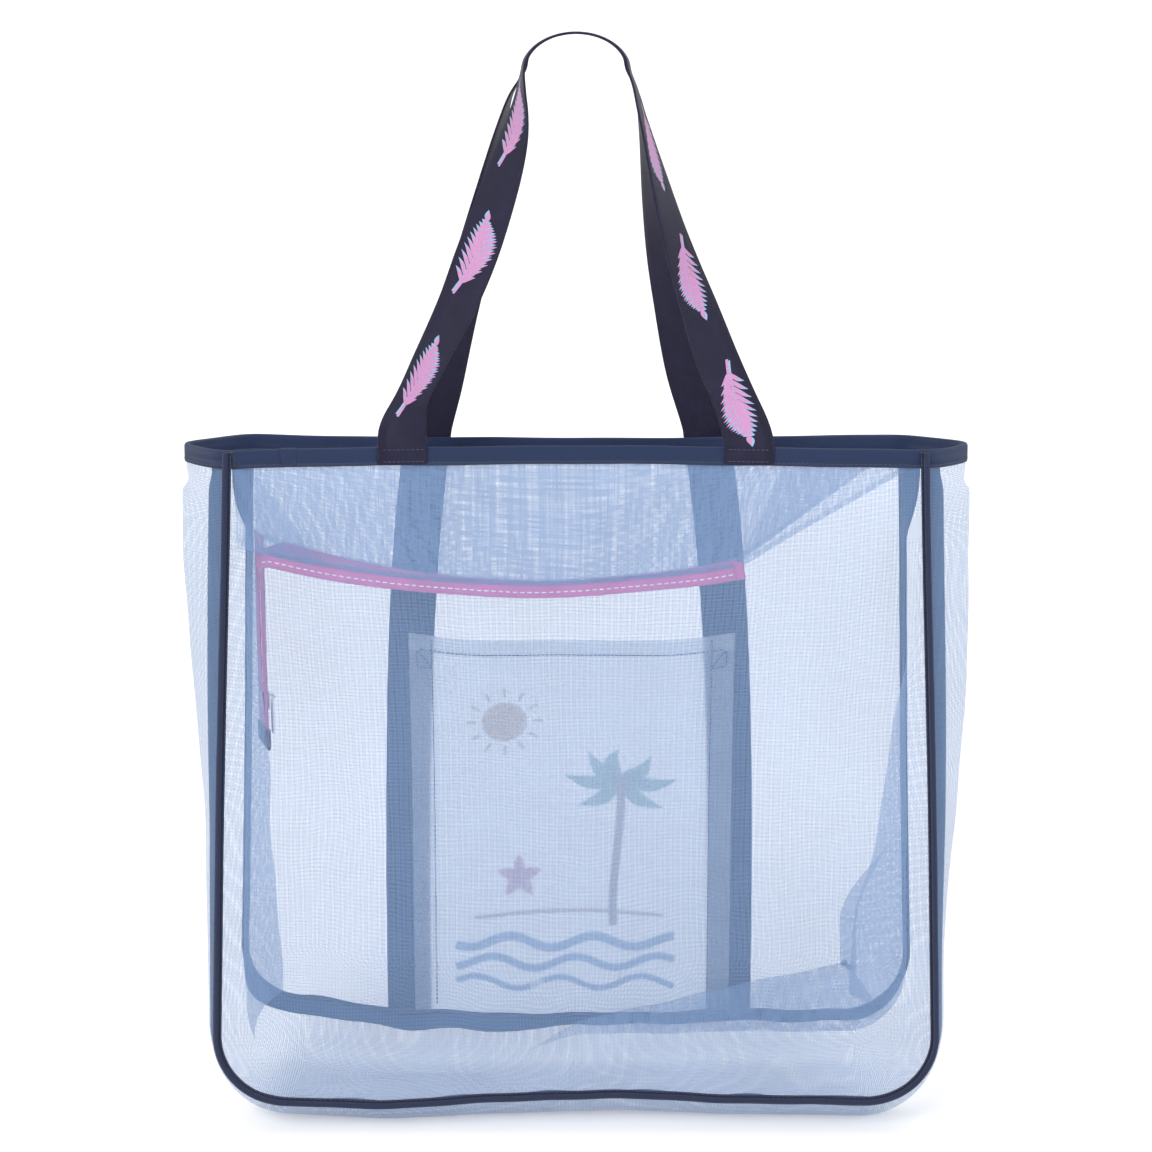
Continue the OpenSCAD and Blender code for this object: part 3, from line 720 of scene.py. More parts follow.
def gusset_rows(us):
    """The gusset strip: one row for each seam position, from the back seam to the front one."""
    us = np.asarray(us, float)
    a, b, out = waved_seam(us, BACK), waved_seam(us, FRONT), seam_out(us)
    z = a[:, 2]
    crease = np.where(us < 0, crease_left(z), crease_right(z))
    f, h, zero = flare(z), z / BAG_H, np.zeros_like(z)
    stand = 12.5 * ease((z - np.where(us < 0, 190, 110)) / 220) * (1 - ease((z - 434) / 14))
    side = np.stack([zero, 6 + 4 * h + 0.4 * stand, 8 + 13 * h + stand, -crease,
                     mix(-0.3 * crease, 19, f), mix(0, 8, f), zero], 1)
    # Along the bottom the strip drops from both seams to the floor
    low = mix(SEAM_Z[BACK], SEAM_Z[FRONT], ACROSS) - np.array([0, 8, 0.6, 0.6, 0.6, 17, 0])
    low[[0, -1]] = 0
    w = bottom_share(us)
    at = COLUMNS
    n = smooth_rows(mix(side, low[None, :], w[:, None]), at)
    n = mix(n, lifted(a[:, 0], at[None, :], n, w), pulled_in(a[:, 0], z)[:, None])
    rows = mix(a[:, None], b[:, None], at[None, :, None])
    run, strip_w = us * 620.0, 120.0
    ripple = 1.2 * waves(run[:, None], at[None, :] * strip_w, 5, 60, 150, 0.6)
    ripple = ripple * np.sin(math.pi * at)[None, :] ** 2
    ripple = ripple * ease((BAG_H - 20 - z) / 60)[:, None] * (1 - w)[:, None]
    rows = rows + out[:, None] * (n + ripple)[..., None]
    rows[..., 2] = np.maximum(rows[..., 2], 0.4)
    return rows


def seam_stations():
    half = np.concatenate([np.linspace(0, ARC_AT, 80), np.linspace(ARC_AT, SIDE_AT, 26)[1:],
                           np.linspace(SIDE_AT, side_u(CLOTH_TOP_Z), 110)[1:]])
    return np.concatenate([-half[::-1], half[1:]])


STATIONS = seam_stations()
GUSSET = gusset_rows(STATIONS)


def grid_normals(grid):
    return unit(np.cross(np.gradient(grid, axis=0), np.gradient(grid, axis=1)))


def thicken(piece, thickness):
    """Gives a sheet a thickness in millimetres, half to each side."""
    solid = piece.modifiers.new("thickness", "SOLIDIFY")
    solid.thickness = thickness * MM
    solid.offset = 0.0


def make_body_cloth():
    back = cloth("back_panel_cloth", panel_grid(BACK), CLOTH, slot="mesh")
    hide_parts("back_panel")
    front = cloth("front_panel_cloth", panel_grid(FRONT), FRONT_CLOTH, slot="mesh")
    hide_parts("front_panel")
    across = np.array([lengths(row) for row in GUSSET])
    along = np.broadcast_to(lengths(GUSSET[:, 0])[:, None], across.shape)
    uv = np.stack([across, along], -1).reshape(-1, 2) * MM
    gusset = cloth("gusset_cloth", GUSSET, CLOTH, slot="mesh", uv=uv)
    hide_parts("gusset_left", "gusset_bottom", "gusset_right")


UP = np.array([0.0, 0.0, 1.0])


def make_seam_tapes():
    """Tape over the seam allowances: it lies on the gusset's sides, and stands into the bag at its bottom."""
    normals = grid_normals(GUSSET)
    centre = np.array([0.0, 0.0, 230.0])
    inward = np.where(((centre - GUSSET) * normals).sum(-1, keepdims=True) < 0, -normals, normals)
    w = bottom_share(STATIONS)[:, None, None]
    for side, name in ((BACK, "back_seam_tape"), (FRONT, "front_seam_tape")):
        rows, facing = (GUSSET, inward) if side == BACK else (GUSSET[:, ::-1], inward[:, ::-1])
        seam = waved_seam(STATIONS, side)[:, None]
        # The front one is squeezed by the fold in the gusset's bottom right
        pressed = pulled_in(seam[:, 0, 0], seam[:, 0, 2]) * (side == FRONT)
        lying = []
        for row, face, squeeze in zip(rows, facing, pressed):
            run = lengths(row)
            distances = np.linspace(0.8, mix(14.8, 8.0, squeeze), 6)
            place = np.stack([np.interp(distances, run, row[:, k]) for k in range(3)], -1)
            lift = np.stack([np.interp(distances, run, face[:, k]) for k in range(3)], -1)
            lying.append(place + unit(lift) * 0.75)
        lying = np.array(lying)
        share = np.linspace(0, 1, 6)[None, :, None]
        pressed = pressed[:, None, None]
        fall = (5.0 + 1.2 * np.sin(STATIONS * 61.0)[:, None, None]) * mix(1.0, 0.5, pressed)
        reach = mix(13.0, 7.2, pressed)
        shelf = seam + np.array([0.0, -side, 0.0]) * (0.9 + reach * share) - UP * fall * share
        grid = mix(lying, shelf, w * 0.95)
        tape = cloth(name + "_twill", grid, SEAM_TAPE, slot="seam_tape")
        thicken(tape, 0.6)
        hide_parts(name)


def make_piping():
    for side, name in ((BACK, "back_piping"), (FRONT, "front_piping")):
        out = seam_out(STATIONS)
        seam = waved_seam(STATIONS, side)
        facing = np.array([0.0, side, 0.0])
        line = even(np.hstack([seam + out * 1.2 + facing * 2.4, out]), 1.6)
        cord = sweep(name + "_cord", line[:, :3], line[:, 3:], disc_section(1.9), PIPING, slot="piping")
        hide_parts(name)
        line = even(np.hstack([seam - out * 1.3 + facing * 0.95, out]), 1.6)
        sweep(name + "_flange", line[:, :3], facing, rounded_strip(2.4, 0.5, 2), PIPING, slot="piping")
        line = even(np.hstack([seam - out * 1.9 + facing * 1.25, out]), 1.6)
        stitches(name + "_stitches", line[:, :3], facing, NAVY_THREAD, slot="piping", radius=0.22)


def mouth_loop():
    """The mouth's outline at the binding, seen from above anticlockwise from the back left corner."""
    xs = np.linspace(-219, 219, 49)
    back = np.stack([xs, panel_y(BACK, xs, BAG_H)], -1)
    front = np.stack([xs, panel_y(FRONT, xs, BAG_H)], -1)[::-1]
    row = gusset_rows([-side_u(CLOTH_TOP_Z), side_u(CLOTH_TOP_Z)])[:, 2:-2, :2]
    ring = np.vstack([back, row[1], front, row[0][::-1]])
    ring = even(np.vstack([ring, ring[:1]]), 2.0)[:-1]
    kernel = np.exp(-0.5 * (np.arange(-6, 7) / 2.0) ** 2)
    padded = np.vstack([ring[-6:], ring, ring[:6]])
    return np.stack([np.convolve(padded[:, k], kernel / kernel.sum(), mode="valid") for k in range(2)], -1)


BINDING_SECTION = wrapped_section([(1.9, 12), (1.98, 7), (1.9, 2.0), (1.5, 0.7), (0.8, 0.15)],
                                  [(1.2, 2.2), (1.2, 7), (1.25, 12)])
SHORT_STITCH = {"length": 2.0, "pitch": 2.8}


def make_binding():
    ring = mouth_loop()
    run = lengths(np.vstack([ring, ring[:1]]))[:-1]
    wave = 0.35 * np.sin(run / 31.0) + 0.25 * np.sin(run / 13.0)
    path = np.column_stack([ring, BAG_H - 0.2 + wave * 0.6])
    t = unit(np.roll(path, -1, 0) - np.roll(path, 1, 0))
    outward = unit(np.cross(t, UP))
    section = [(n, s * (BINDING_H / 12.0)) for n, s in BINDING_SECTION]
    tape = sweep("top_binding", path, outward, section, BINDING, closed=True, slot="binding")
    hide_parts("top_binding_back", "top_binding_front", "top_binding_left", "top_binding_right")
    loop, faces = np.vstack([path, path[:1]]), np.vstack([outward, outward[:1]])
    for label, flip in (("outer", 1.0), ("inner", -1.0)):
        row = loop + faces * 1.96 * flip - UP * (BINDING_H - 1.9)
        stitches(f"top_binding_{label}_stitches", row, faces * flip, NAVY_THREAD, slot="binding",
                 length=2.3, pitch=3.1, radius=0.25)
    # The tape's two ends overlap near the back left corner
    start = int(np.argmin(np.abs(ring[:, 0] + 191) + (ring[:, 1] > 0) * 1e3))
    lap = path[start:start + 6]
    section = [(n * 1.22, s * BINDING_H / 12.0 + (0.2 if s > 6 else 0)) for n, s in BINDING_SECTION]
    sweep("top_binding_lap", lap + UP * 0.35, outward[start:start + 6], section, BINDING, slot="binding")
    row = np.array([lap[1] + outward[start] * 2.35 - UP * k for k in (1.5, 6.0, 10.5)])
    stitches("top_binding_lap_stitches", row, outward[start], NAVY_THREAD, slot="binding", **SHORT_STITCH,
             radius=0.25)


make_body_cloth()
make_seam_tapes()
make_piping()
make_binding()

# ---------------------------------------------------------------- the zip closure


def zip_z(x, side):
    """Height of the lower edge of a flap's zip tape."""
    lower = 7.4 if side == FRONT else 0.0
    return ZIP_LOW_Z + 20 * ((x + 45) / 160) ** 2 - 0.03 * (x + 45) - lower


def flap_edge_z(x, side):
    """Height of a flap's lower edge, which climbs to the binding beyond the zip's right end."""
    low, right = (zip_z(place, side) + 2.0 for place in (x, ZIP_RIGHT_X))
    climb = (x - ZIP_RIGHT_X) / (FLAP_RIGHT_X - ZIP_RIGHT_X)
    return np.where(x <= ZIP_RIGHT_X, low, mix(right, BAG_H - 14, climb))


def flap_sway(side, x, drop):
    """How far a hanging flap stands in from the mouth's line. drop goes from 0 at the mouth to 1."""
    wave = waves(x, drop * 60, 31 + side, 60, 150, 0.3)
    return side * (0.55 + drop * (0.5 + 0.9 * (1 + wave)))


def flap_y(side, x, drop):
    return panel_y(side, x, BAG_H) - flap_sway(side, x, drop)


def tail_point(across, inward, z):
    """A place beside the hanging zip tail: across the tape, and inward from it into the bag."""
    c, s = math.cos(TAIL_TURN), math.sin(TAIL_TURN)
    return np.array([TAIL_XY[0] + across * c + inward * s, TAIL_XY[1] + across * s - inward * c, z])


TAIL_IN = tail_point(0, 1, 0) - tail_point(0, 0, 0)


def coil(name, path, inward):
    """A fine helix along a path. inward is the direction in which it is a little flattened."""
    radius, wire, pitch = 0.85, 0.3, 1.45
    line = even(np.asarray(path, float), pitch / 8)
    t = tangents(line)
    a = squared(np.broadcast_to(inward, line.shape), t)
    b = np.cross(t, a)
    turn = lengths(line) * 2 * math.pi / pitch
    helix = line + a * np.cos(turn)[:, None] * radius * 0.75 + b * np.sin(turn)[:, None] * radius
    return sweep(name, helix, a + t, disc_section(wire, 5), COIL, slot="zip_coil")


def flap_fold(name, side, first, second):
    """A part of a hanging flap that is folded double, between two lines of (x, z) ends."""
    along = np.linspace(0, 1, 24)[:, None]
    a, b = (mix(np.array(start, float), np.array(end, float), along) for start, end in (first, second))
    grid = mix(a[:, None], b[:, None], np.linspace(0, 1, 12)[None, :, None])
    x, z = grid[..., 0], grid[..., 1]
    drop = (CLOTH_TOP_Z - z) / (CLOTH_TOP_Z - flap_edge_z(x, side))
    cloth(name, np.stack([x, flap_y(side, x, drop) - side * 0.5, z], -1), FLAP_CLOTH, slot="mesh")


# Places and depths at which each tape turns in toward the hanging tail
TURN_IN = {BACK: [(-207, -29), (-210, -16), (-211, -4)], FRONT: [(-206, 38), (-213, 32), (-216.5, 26)]}


def make_zip():
    right_low = float(flap_edge_z(112.0, FRONT)) + 0.6
    flap_fold("zip_flap_fold_right", FRONT, ((150, BAG_H - 4), (112, right_low)),
              ((214, BAG_H - 6), (116, right_low)))
    flap_fold("zip_flap_fold_left", BACK, ((-208, 447), (-162, 382)), ((-218, 400), (-205, 393)))
    for side, name in ((BACK, "back"), (FRONT, "front")):
        xs = np.concatenate([np.linspace(-221, ZIP_RIGHT_X, 120), np.linspace(ZIP_RIGHT_X, 222, 40)[1:]])
        drop = np.linspace(0, 1, 26)
        x = np.broadcast_to(xs[:, None], (len(xs), len(drop)))
        z = mix(CLOTH_TOP_Z, flap_edge_z(x, side), drop[None, :])
        grid = np.stack([x, flap_y(side, x, drop[None, :]), z], -1)
        flap = cloth(f"zip_flap_{name}", grid, FLAP_CLOTH, slot="mesh")
        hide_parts(f"zip_panel_{name}")
        # A narrow hem of doubled mesh runs along the free edge
        hem_x = xs[2:-2]
        hem_y, edge_z = flap_y(side, hem_x, 1.0) - side * 0.35, flap_edge_z(hem_x, side)
        hem = np.stack([[hem_x, hem_y, edge_z + up] for up in (0.4, 2.4, 4.4)], 0)
        cloth(f"zip_flap_{name}_hem", np.moveaxis(hem, 1, 2), FLAP_CLOTH, slot="mesh")
        # The tape is sewn behind the flap's edge and shows below it
        tape_x = np.linspace(ZIP_RIGHT_X + 1, -200, 150)
        ripple = 0.5 * np.sin(tape_x / 19.0)
        low_z = zip_z(tape_x, side) - 0.6 + ripple * 0.6
        middle = np.stack([tape_x, flap_y(side, tape_x, 1.0) - side * (0.9 + 0.2 * ripple), low_z], -1)
        last = middle[-1]
        keys = [last] + [np.array([px, py, last[2] - 1.5 * k]) for k, (px, py) in enumerate(TURN_IN[side], 1)]
        path = even(np.vstack([middle, catmull(keys, 20)[1:]]), 2.0)
        facing = unit(np.cross(UP, tangents(path)))
        section = rounded_strip(11.5, 0.7, 2)
        tape = sweep(f"zip_tape_{name}_run", path, facing, section, ZIP_TAPE, slot="zip_tape")
        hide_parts(f"zip_tape_{name}")
        outside = np.where(facing @ np.array([0, side, 0.0]) > 0, 1.0, -1.0)[:, None] * facing
        sewn, faces = path[:-12], outside[:-12]
        stitches(f"zip_tape_{name}_topstitch", sewn + faces * 0.4 - UP * 1.6, faces, WHITE_THREAD,
                 slot="zip_tape", length=3.4, pitch=4.8, radius=0.48, height=0.35)
        stitches(f"zip_tape_{name}_seam", sewn + faces * 1.5 + UP * 4.0, faces, BLUE_THREAD,
                 slot="zip_tape", length=2.4, pitch=3.4, radius=0.22)
        teeth = coil(f"zip_coil_{name}_run", path[:-10] - outside[:-10] * 1.2 - UP * 4.6, [0, -side, 0.0])
        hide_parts(f"zip_coil_{name}")
        # The right end of the tape is folded under and sewn across
        end = path[:4] + outside[:4] * 0.75
        sweep(f"zip_tape_{name}_end", end, facing[:4], rounded_strip(11.9, 0.7, 2), ZIP_TAPE, slot="zip_tape")
        # Each tape has its half of the hanging tail
        heights = np.linspace(398, 251, 60)
        sag = 0.8 * np.sin((heights - 250) / 150 * math.pi)
        tail = np.array([tail_point(side * (2.1 + 6.5), k, z) for k, z in zip(-sag * 0.4, heights)])
        sweep(f"zip_tail_{name}", tail, TAIL_IN, rounded_strip(13.0, 0.7, 2), ZIP_TAPE, slot="zip_tape")
        heights = np.linspace(COIL_TOP_Z, COIL_END_Z, 30)
        row, seam = (np.array([tail_point(side * across, inward, z) for z in heights])
                     for across, inward in ((2.1, 1.45), (4.6, 0.45)))
        coil(f"zip_tail_coil_{name}", row, TAIL_IN)
        stitches(f"zip_tail_stitches_{name}", seam, TAIL_IN, WHITE_THREAD, slot="zip_tape",
                 length=2.0, pitch=3.0, radius=0.2)


def round_edges(node, width_mm):
    bevel = NODES[node].modifiers.new("edges", "BEVEL")
    bevel.width = width_mm * MM
    bevel.segments = 3
    bevel.limit_method = "ANGLE"
    bevel.angle_limit = math.radians(40)
    bevel.use_clamp_overlap = True


def repaint(node, material):
    NODES[node].data.materials.clear()
    NODES[node].data.materials.append(material)


def make_zip_hardware():
    for node in ("zip_slider", "zip_pull", "zip_bottom_stop"):
        repaint(node, NICKEL)
        round_edges(node, 0.28)
    # The fabric tab wraps the tail's lower end
    low_z, half_t, wrap = box_mm("zip_tail_tab")[0][2], 1.35, 14.0
    section = wrapped_section([(half_t, wrap), (half_t + 0.1, 7), (half_t, 2.2), (0.8, 0.4)],
                              [(half_t - 0.7, 2.4), (half_t - 0.7, wrap)])
    line = np.array([tail_point(a, 0, low_z + 0.1) for a in np.linspace(-15.3, 15.3, 16)])
    tab = sweep("zip_tail_tab_fold", line, TAIL_IN, [(n, -s) for n, s in section], BINDING, slot="binding")
    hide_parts("zip_tail_tab")
    for label, inward in (("in", 1), ("out", -1)):
        row = np.array([tail_point(a, inward * 1.45, low_z + 11.6) for a in np.linspace(-14.5, 14.5, 12)])
        stitches(f"zip_tail_tab_stitches_{label}", row, TAIL_IN * inward, NAVY_THREAD, slot="binding",
                 **SHORT_STITCH, radius=0.22)


# ---------------------------------------------------------------- webbing ribbons and their print


class Ribbon:
    """A flat strap along a line, which knows where any place along and across it lies."""

    def __init__(self, side, keys, step=2.0):
        line = even(catmull(keys, 900), step)
        self.path, twist = line[:, :3], np.radians(line[:, 3])[:, None]
        self.run = lengths(self.path)
        t = tangents(self.path)
        face = np.array([0.0, side, 0.0])
        flat = unit(face - t * (t @ face)[:, None])
        out = unit(np.stack([-t[:, 2], np.zeros(len(t)), t[:, 0]], -1))
        self.normal = squared(unit(flat * np.cos(twist) + out * np.sin(twist)), t)
        self.across = np.cross(t, self.normal)

    def along(self, s, values):
        return np.stack([np.interp(s, self.run, values[:, k]) for k in range(3)], -1)

    def at(self, s, w, lift):
        """The point at s along the strap and w across it, lifted off its face."""
        s, w = np.broadcast_arrays(np.asarray(s, float), np.asarray(w, float))
        place, normal, across = (self.along(s, values) for values in (self.path, self.normal, self.across))
        return place + across * w[..., None] + normal * lift

    def facing(self, s):
        """The way the strap's face looks at s."""
        return unit(self.along(s, self.normal))

    def where(self, z, rising):
        """Distance along the ribbon at which it passes height z, on its rising or its falling leg."""
        top = int(np.argmax(self.path[:, 2]))
        leg = slice(0, top) if rising else slice(len(self.path) - 1, top, -1)
        return float(np.interp(z, self.path[leg, 2], self.run[leg]))


def leaf(start, end, width, curl=0.0, count=9):
    """Outline of a pointed leaf between two points of the plane, as two edges."""
    start, end = np.array(start, float), np.array(end, float)
    run = end - start
    side = np.array([-run[1], run[0]]) / np.linalg.norm(run)
    t = np.linspace(0, 1, count)
    half = width / 2 * np.sin(math.pi * t ** 0.8)
    spine = start + run * t[:, None] + side * (curl * np.sin(math.pi * t))[:, None]
    return spine + side * half[:, None], spine - side * half[:, None]


def palm_sprig():
    """A palm frond about 56 mm long and 24 mm wide: a curved stem with leaflets to both sides."""
    t = np.linspace(0, 1, 13)
    stem = np.stack([mix(-27, 24, t), 4.0 * np.sin(math.pi * t) - 3.0], -1)
    shapes = [(stem + [0, 1.0], stem - [0, 1.0])]
    for k in range(2, 12):
        base = stem[k]
        size = 13.0 * math.sin(math.pi * min(1.0, (k + 1.2) / 13.5)) + 1.0
        for turn in (1, -1):
            tip = base + np.array([size * 0.75, turn * size * 0.85])
            shapes.append(leaf(base, tip, 3.1, curl=-turn * 1.1))
    shapes.append(leaf(stem[-1], stem[-1] + np.array([6.5, -0.8]), 4.0))
    return shapes


def strips(shapes, place):
    """Verts and faces of filled shapes, where place turns points of the plane into points in space."""
    verts, faces = [], []
    for one, two in shapes:
        base, count = len(verts), len(one)
        mid = (one + two) / 2
        for a, b, c in zip(one, mid, two):
            verts += [a, b, c]
        for i in range(count - 1):
            for j in range(2):
                a = base + i * 3 + j
                faces.append((a, a + 3, a + 4, a + 1))
    return place(np.array(verts, float)), faces


SPRIG_PITCH = 87.0


def swing(piece):
    """A piece that starts on the bag and carries on up its handle: its placement is baked into its mesh."""
    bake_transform(piece)


def print_ribbon(name, ribbon, centres):
    """Sprigs along a strap: a pink print over a blue one that is a little out of register."""
    lean = math.radians(6)
    turn = np.array([[math.cos(lean), -math.sin(lean)], [math.sin(lean), math.cos(lean)]])
    flat, flat_faces = strips(palm_sprig(), lambda p: p @ turn.T)
    for label, ink, shift, lift in (("shadow", BLUE_INK, (1.3, -1.2), 0.05),
                                    ("print", PINK_INK, (0, 0), 0.13)):
        along, across = (flat + shift).T
        verts = np.vstack([ribbon.at(s + along, across, WEBBING_T / 2 + lift) for s in centres])
        faces = [tuple(i + k * len(flat) for i in face) for k in range(len(centres)) for face in flat_faces]
        swing(make_piece(f"{name}_{label}", verts, faces, ink, body=None, slot="webbing"))


# Rows of stitches lie just above the webbing's face
STITCH_LIFT = WEBBING_T / 2 + 0.05


def edge_row(name, ribbon, low, high, w):
    """Stitches along one edge of a strap, from low to high along it."""
    s = np.linspace(low, high, max(2, int(abs(high - low) / 3)))
    stitches(name, ribbon.at(s, w, STITCH_LIFT), ribbon.facing(s), NAVY_THREAD, slot="webbing", radius=0.26)


def cross_row(name, ribbon, s):
    """Stitches across a strap, at s along it."""
    row = ribbon.at(s, np.linspace(-14, 14, 12), STITCH_LIFT)
    stitches(name, row, ribbon.facing([s])[0], NAVY_THREAD, slot="webbing",
             length=2.2, pitch=3.0, radius=0.26)


# Height above the mouth, distance from the middle, depth and twist, as in the CAD solids
LEGS = {
    BACK: ([(0.5, -113, -27.5, -6), (8, -113, -26.6, 4), (28, -108, -24.4, 44), (55, -95.5, -22.6, 46),
            (91, -77.5, -20.8, 37), (123, -64.5, -19.4, 30), (155, -53, -18.4, 36), (181, -44.5, -17.8, 45),
            (199, -39.5, -17.5, 55), (213, -36.8, -17.3, 66), (226, -35.4, -17.2, 77)],
           [(0.5, 113, -27.5, -6), (8, 111.5, -26.6, 4), (30, 103.5, -24.4, 26), (56, 92, -22.6, 28),
            (88, 80.5, -20.8, 39), (116, 70.5, -19.4, 50), (140, 62.5, -18.4, 58), (177, 52, -17.8, 70),
            (199, 46, -17.5, 77), (215, 41.5, -17.3, 81), (230, 37.5, -17.2, 84)]),
    FRONT: ([(0.5, -101, 28.9, -5), (8, -100, 28, 4), (38, -91, 25, 24), (78, -81, 22, 34), (120, -69, 20, 46),
             (160, -59, 18.4, 60), (206, -48.5, 17.5, 80), (226, -43, 17.2, 90)],
            [(0.5, 89, 28, -5), (8, 88, 27.2, 4), (47, 75, 25, 24), (92, 64.5, 22, 40), (123, 57.5, 20, 52),
             (160, 51, 18.4, 66), (206, 44.5, 17.5, 82), (228, 40, 17.2, 90)]),
}
ARCH_HALF_W, ARCH_H, ARCH_Y = 34.0, 24.0, 17.2


def lie_flat(side, x, z):
    """Twist of a strap that lies on a panel there, in degrees."""
    mid = mix(BELLY_Y, MOUTH_Y[side], pinch(z))
    edge = mix(SEAM_Y, MOUTH_CORNER_Y, pinch(z))
    return -math.degrees(math.atan(2 * (edge - mid) * abs(x) / half_w(z) ** 2))


def sewn_keys(side, s):
    """The stretch of webbing that is sewn to the bag, from its lower end up to the mouth."""
    if side == BACK:
        x = s * 113.0
        y = panel_y(BACK, x, BAG_H) - WEBBING_OFF
        return [(x, y, BAG_H - h, lie_flat(BACK, x, BAG_H)) for h in (11.4, 7, 3)]
    keys = []
    for z in (38.9, 60, 90, 130, 170, 210, 240, 270, 300, 330, 360, 390, 420, 445, BAG_H - 4):
        x = strap_x(s, z)
        y = panel_y(FRONT, x, z) + WEBBING_OFF
        keys.append((x, y, z + bottom_wave(x, z, FRONT), lie_flat(FRONT, x, z)))
    return keys


def handle_ribbon(side):
    arch_z = ARCH_TOP[side] - ARCH_H - WEBBING_T / 2
    twist = 85 if side == BACK else 95
    arch = [(ARCH_HALF_W * math.cos(a), side * ARCH_Y, arch_z + ARCH_H * math.sin(a), twist)
            for a in np.linspace(math.pi, 0, 10)]
    rising, falling = (sewn_keys(side, s) + [(x, y, BAG_H + h, twist) for h, x, y, twist in leg]
                       for s, leg in zip((-1, 1), LEGS[side]))
    return Ribbon(side, rising + arch + falling[::-1])


def make_handle(side, name, replaced):
    ribbon = handle_ribbon(side)
    section = rounded_strip(WEBBING_W, WEBBING_T)
    strap = sweep(f"{name}_webbing", ribbon.path, ribbon.normal, section, STRAP, body=None, slot="webbing")
    swing(strap)
    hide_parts(*replaced)
    length = ribbon.run[-1]
    first = ribbon.where(BAG_H + 43.0, rising=True)
    centres = [s for s in first + SPRIG_PITCH * np.arange(-12, 24) if 28 < s < length - 28]
    print_ribbon(f"{name}_sprigs", ribbon, centres)
    # Rows of stitches hold both ends to the bag, and edge the straps on the front panel
    for label, rising in (("left", True), ("right", False)):
        if side == BACK:
            for k, inset in enumerate((1.8, 9.6)):
                cross_row(f"{name}_end_{label}_row_{k}", ribbon, inset if rising else length - inset)
            continue
        low, high = (ribbon.where(z, rising) for z in (SEAM_Z[FRONT] + 4, BAG_H - 4))
        for edge, w in (("a", -13.6), ("b", 13.6)):
            edge_row(f"{name}_strap_{label}_{edge}", ribbon, low, high, w)
        for k, z in enumerate((BAG_H - 3, BAG_H - 10)):
            cross_row(f"{name}_strap_{label}_row_{k}", ribbon, ribbon.where(z, rising))


# ---------------------------------------------------------------- the pocket


def pocket_point(x, z, lift=0.0):
    """A place on the pocket, where z is measured before its mouth sags."""
    x, z = np.broadcast_arrays(np.asarray(x, float), np.asarray(z, float))
    c = (x - POCKET_X) / POCKET_HALF_W
    zc = z - POCKET_SAG * (1 - c * c) * ease((z - 200) / (POCKET_TOP_Z - 200))
    bulge = POCKET_OPEN * np.maximum(0, 1 - (c / POCKET_FLAT) ** 2) ** 2 * ease((z - 60) / 240)
    ripple = 0.5 * waves(x, zc, 77, 40, 110, 1.2) * ease((1 - np.abs(c)) * 4 - 1)
    y = panel_y(FRONT, x, zc) + 1.3 + bulge + lift + ripple
    return np.stack([x, y, zc + bottom_wave(x, zc, FRONT)], -1)


def ring_strip(centre, radius, width):
    a = np.linspace(0, 2 * math.pi, 40)
    ring = np.stack([np.cos(a), np.sin(a)], -1)
    return centre + ring * (radius + width / 2), centre + ring * (radius - width / 2)


def heading(a):
    return np.array([math.cos(a), math.sin(a)])


def line_strip(points, width):
    points = np.asarray(points, float)
    t = unit(np.gradient(points, axis=0))
    side = np.stack([-t[:, 1], t[:, 0]], -1)
    return points + side * width / 2, points - side * width / 2


def beach_print():
    """A plain beach drawing for the pocket: shapes by ink, across from the pocket's middle and up."""
    centre = np.array([-48, 258])
    sun = [ring_strip(centre, r, 4.2) for r in (2.2, 6.0, 10.0, 14.0)]
    sun += [line_strip([centre + r * heading(a) for r in (20, 23.5, 27)], 2.4)
            for a in np.linspace(0, 2 * math.pi, 13)[:-1]]
    x = np.linspace(-84, 74, 90)
    sea = [line_strip(np.stack([x, 92 - 15 * k + 4.2 * np.sin(x / 9.5 + 1.3 * k)], -1), 6.5 - k)
           for k in range(3)]
    t = np.linspace(0, 1, 16)
    trunk_line = np.stack([mix(30, 22, t) + 13 * np.sin(t * math.pi / 2) ** 2, mix(104, 214, t)], -1)
    trunk = [line_strip(trunk_line, 6.0)]
    crown = trunk_line[-1]
    leaves = []
    for angle, size in ((12, 42), (50, 34), (92, 30), (130, 36), (168, 42), (-24, 34), (204, 34)):
        toward = heading(math.radians(angle))
        curl = 6.0 if toward[0] < 0 else -6.0
        leaves.append(leaf(crown, crown + size * toward - [0, 9], 10.5, curl=curl, count=13))
    middle = np.array([-38, 140])
    star = [leaf(middle, middle + 17 * heading(a), 8.5) for a in math.pi / 2 + np.arange(5) * 2 * math.pi / 5]
    bank = 108 + 7 * np.sin(np.linspace(0.3, 2.6, 40))
    shore = [line_strip(np.stack([np.linspace(-70, 66, 40), bank], -1), 3.0)]
    return {"sun": sun, "sea": sea, "trunk": trunk, "leaves": leaves, "star": star, "shore": shore}


PRINT_COLOURS = {"sun": (0.85, 0.52, 0.12), "sea": (0.07, 0.32, 0.60), "trunk": (0.34, 0.17, 0.08),
                 "leaves": (0.06, 0.36, 0.27), "star": (0.78, 0.22, 0.32), "shore": (0.72, 0.52, 0.26)}


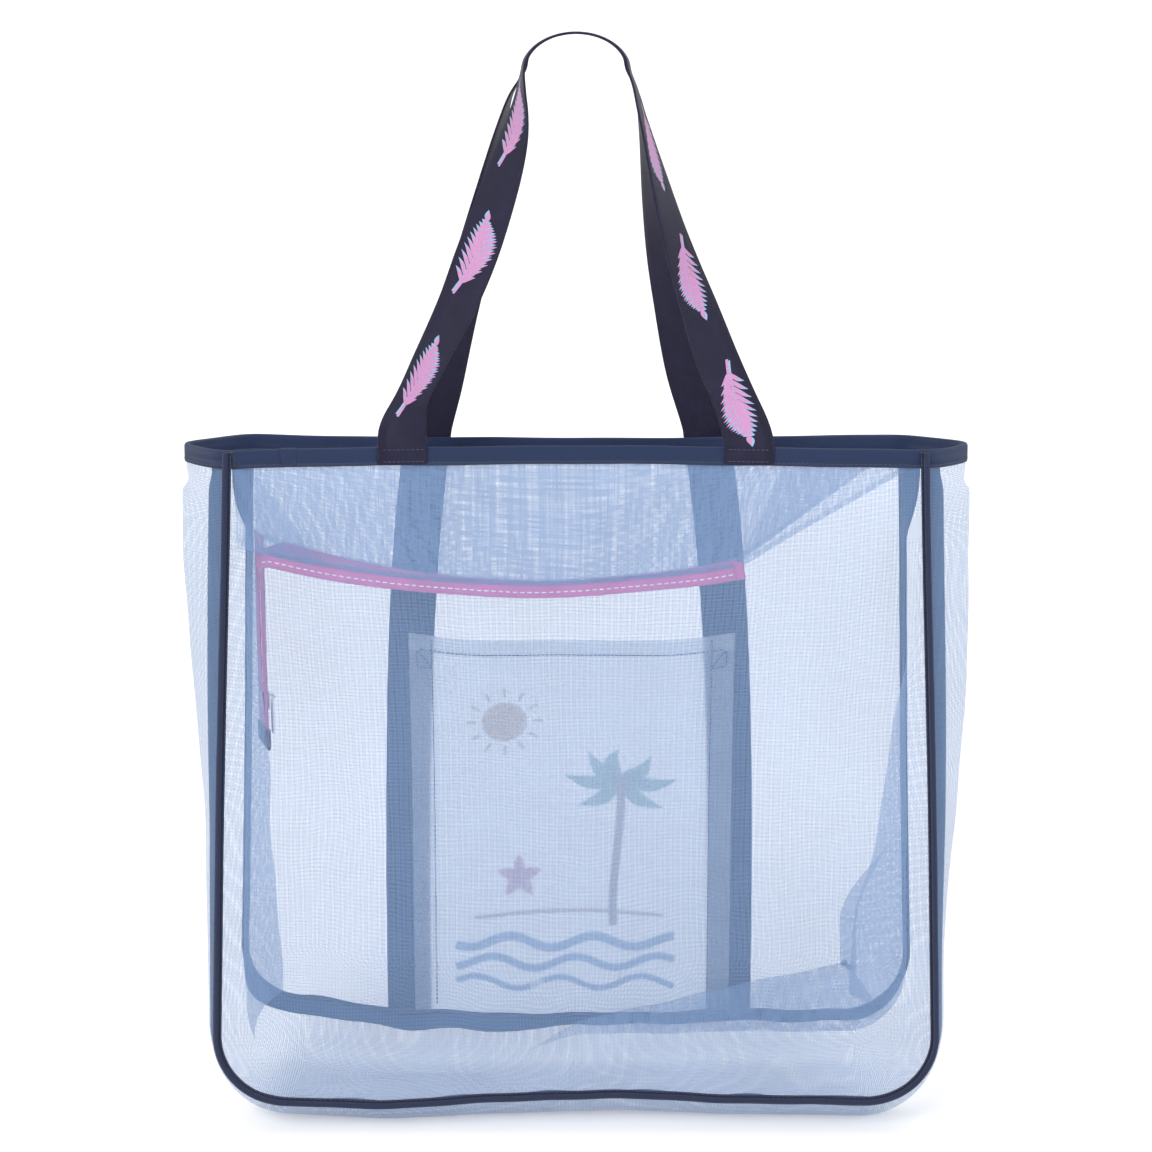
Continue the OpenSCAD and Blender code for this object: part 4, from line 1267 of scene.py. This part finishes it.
def make_pocket():
    xs = np.linspace(POCKET_X - POCKET_HALF_W, POCKET_X + POCKET_HALF_W, 73)
    zs = np.linspace(POCKET_TOP_Z, POCKET_LOW[2], 81)
    x, z = np.meshgrid(xs, zs)
    pocket = cloth("front_pocket_cloth", pocket_point(x, z), POCKET, slot="pocket_cloth")
    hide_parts("front_pocket")
    hem_z = np.linspace(POCKET_TOP_Z + 0.3, POCKET_TOP_Z - 12.5, 5)
    x, z = np.meshgrid(xs, hem_z)
    cloth("front_pocket_hem", pocket_point(x, z, -0.62), POCKET, slot="pocket_cloth")
    inner = POCKET_HALF_W - 6
    hem_low = POCKET_TOP_Z - 11.0
    rows = {"hem": [(POCKET_X - inner, hem_low), (POCKET_X + inner, hem_low)]}
    # Small boxes with a diagonal strengthen the pocket's upper corners
    for label, s in (("left", -1), ("right", 1)):
        edge, box_low = POCKET_X + s * (POCKET_HALF_W - 16.0), hem_low - 13.0
        outer = edge + s * 10.5
        rows[f"{label}_box"] = [(outer, hem_low), (outer, box_low), (edge, box_low)]
        rows[f"{label}_cross"] = [(outer, hem_low), (edge, box_low)]
        rows[f"{label}_side"] = [(edge, POCKET_TOP_Z - 0.8), (edge, SEAM_Z[FRONT] + 4)]
    for label, corners in rows.items():
        line = even(np.column_stack([corners, np.zeros(len(corners))]), 2.0)
        for face, lift, facing, radius in (("outer", 0.35, 1.0, 0.27), ("inner", -0.95, -1.0, 0.42)):
            points = pocket_point(line[:, 0], line[:, 1], lift)
            stitches(f"front_pocket_{label}_{face}", points, [0, facing, 0], NAVY_THREAD,
                     slot="pocket_cloth", length=2.6, pitch=3.1, radius=radius)
    for name, shapes in beach_print().items():
        colour = PRINT_COLOURS[name]
        # The print shows faintly on the pocket's other face
        ghost = tuple(mix(base, c, 0.09) for base, c in zip((0.95, 0.97, 0.98), colour))
        for label, material, own, through, lift in (("print", "ink", colour, colour, 0.34),
                                                    ("ghost", "ghost", ghost, (1.0, 1.0, 1.0), -0.34)):
            verts, faces = strips(shapes, lambda p: pocket_point(p[:, 0] + POCKET_X, p[:, 1], lift))
            ink = let_light_through(print_ink(f"{material}_{name}", own), through, 0.5)
            make_piece(f"front_pocket_{label}_{name}", verts, faces, ink, slot="pocket_cloth")


def make_label():
    middle = sum(box_mm("care_label")) / 2
    turn = math.radians(12)
    across = np.array([-math.sin(turn), math.cos(turn), 0.0])
    us, vs = np.linspace(-8, 8, 9), np.linspace(6.5, -6.5, 9)
    grid = np.array([[middle + across * u + [0.5 * math.sin(v / 3.0), 0, v] for u in us] for v in vs])
    label = cloth("care_label_cloth", grid, LABEL, slot="label")
    thicken(label, 0.5)
    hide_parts("care_label")


make_zip()
make_zip_hardware()
make_handle(BACK, "back_handle", ("back_handle", "back_handle_end_left", "back_handle_end_right"))
make_handle(FRONT, "front_handle", ("front_handle", "front_strap_left", "front_strap_right"))
make_pocket()
make_label()
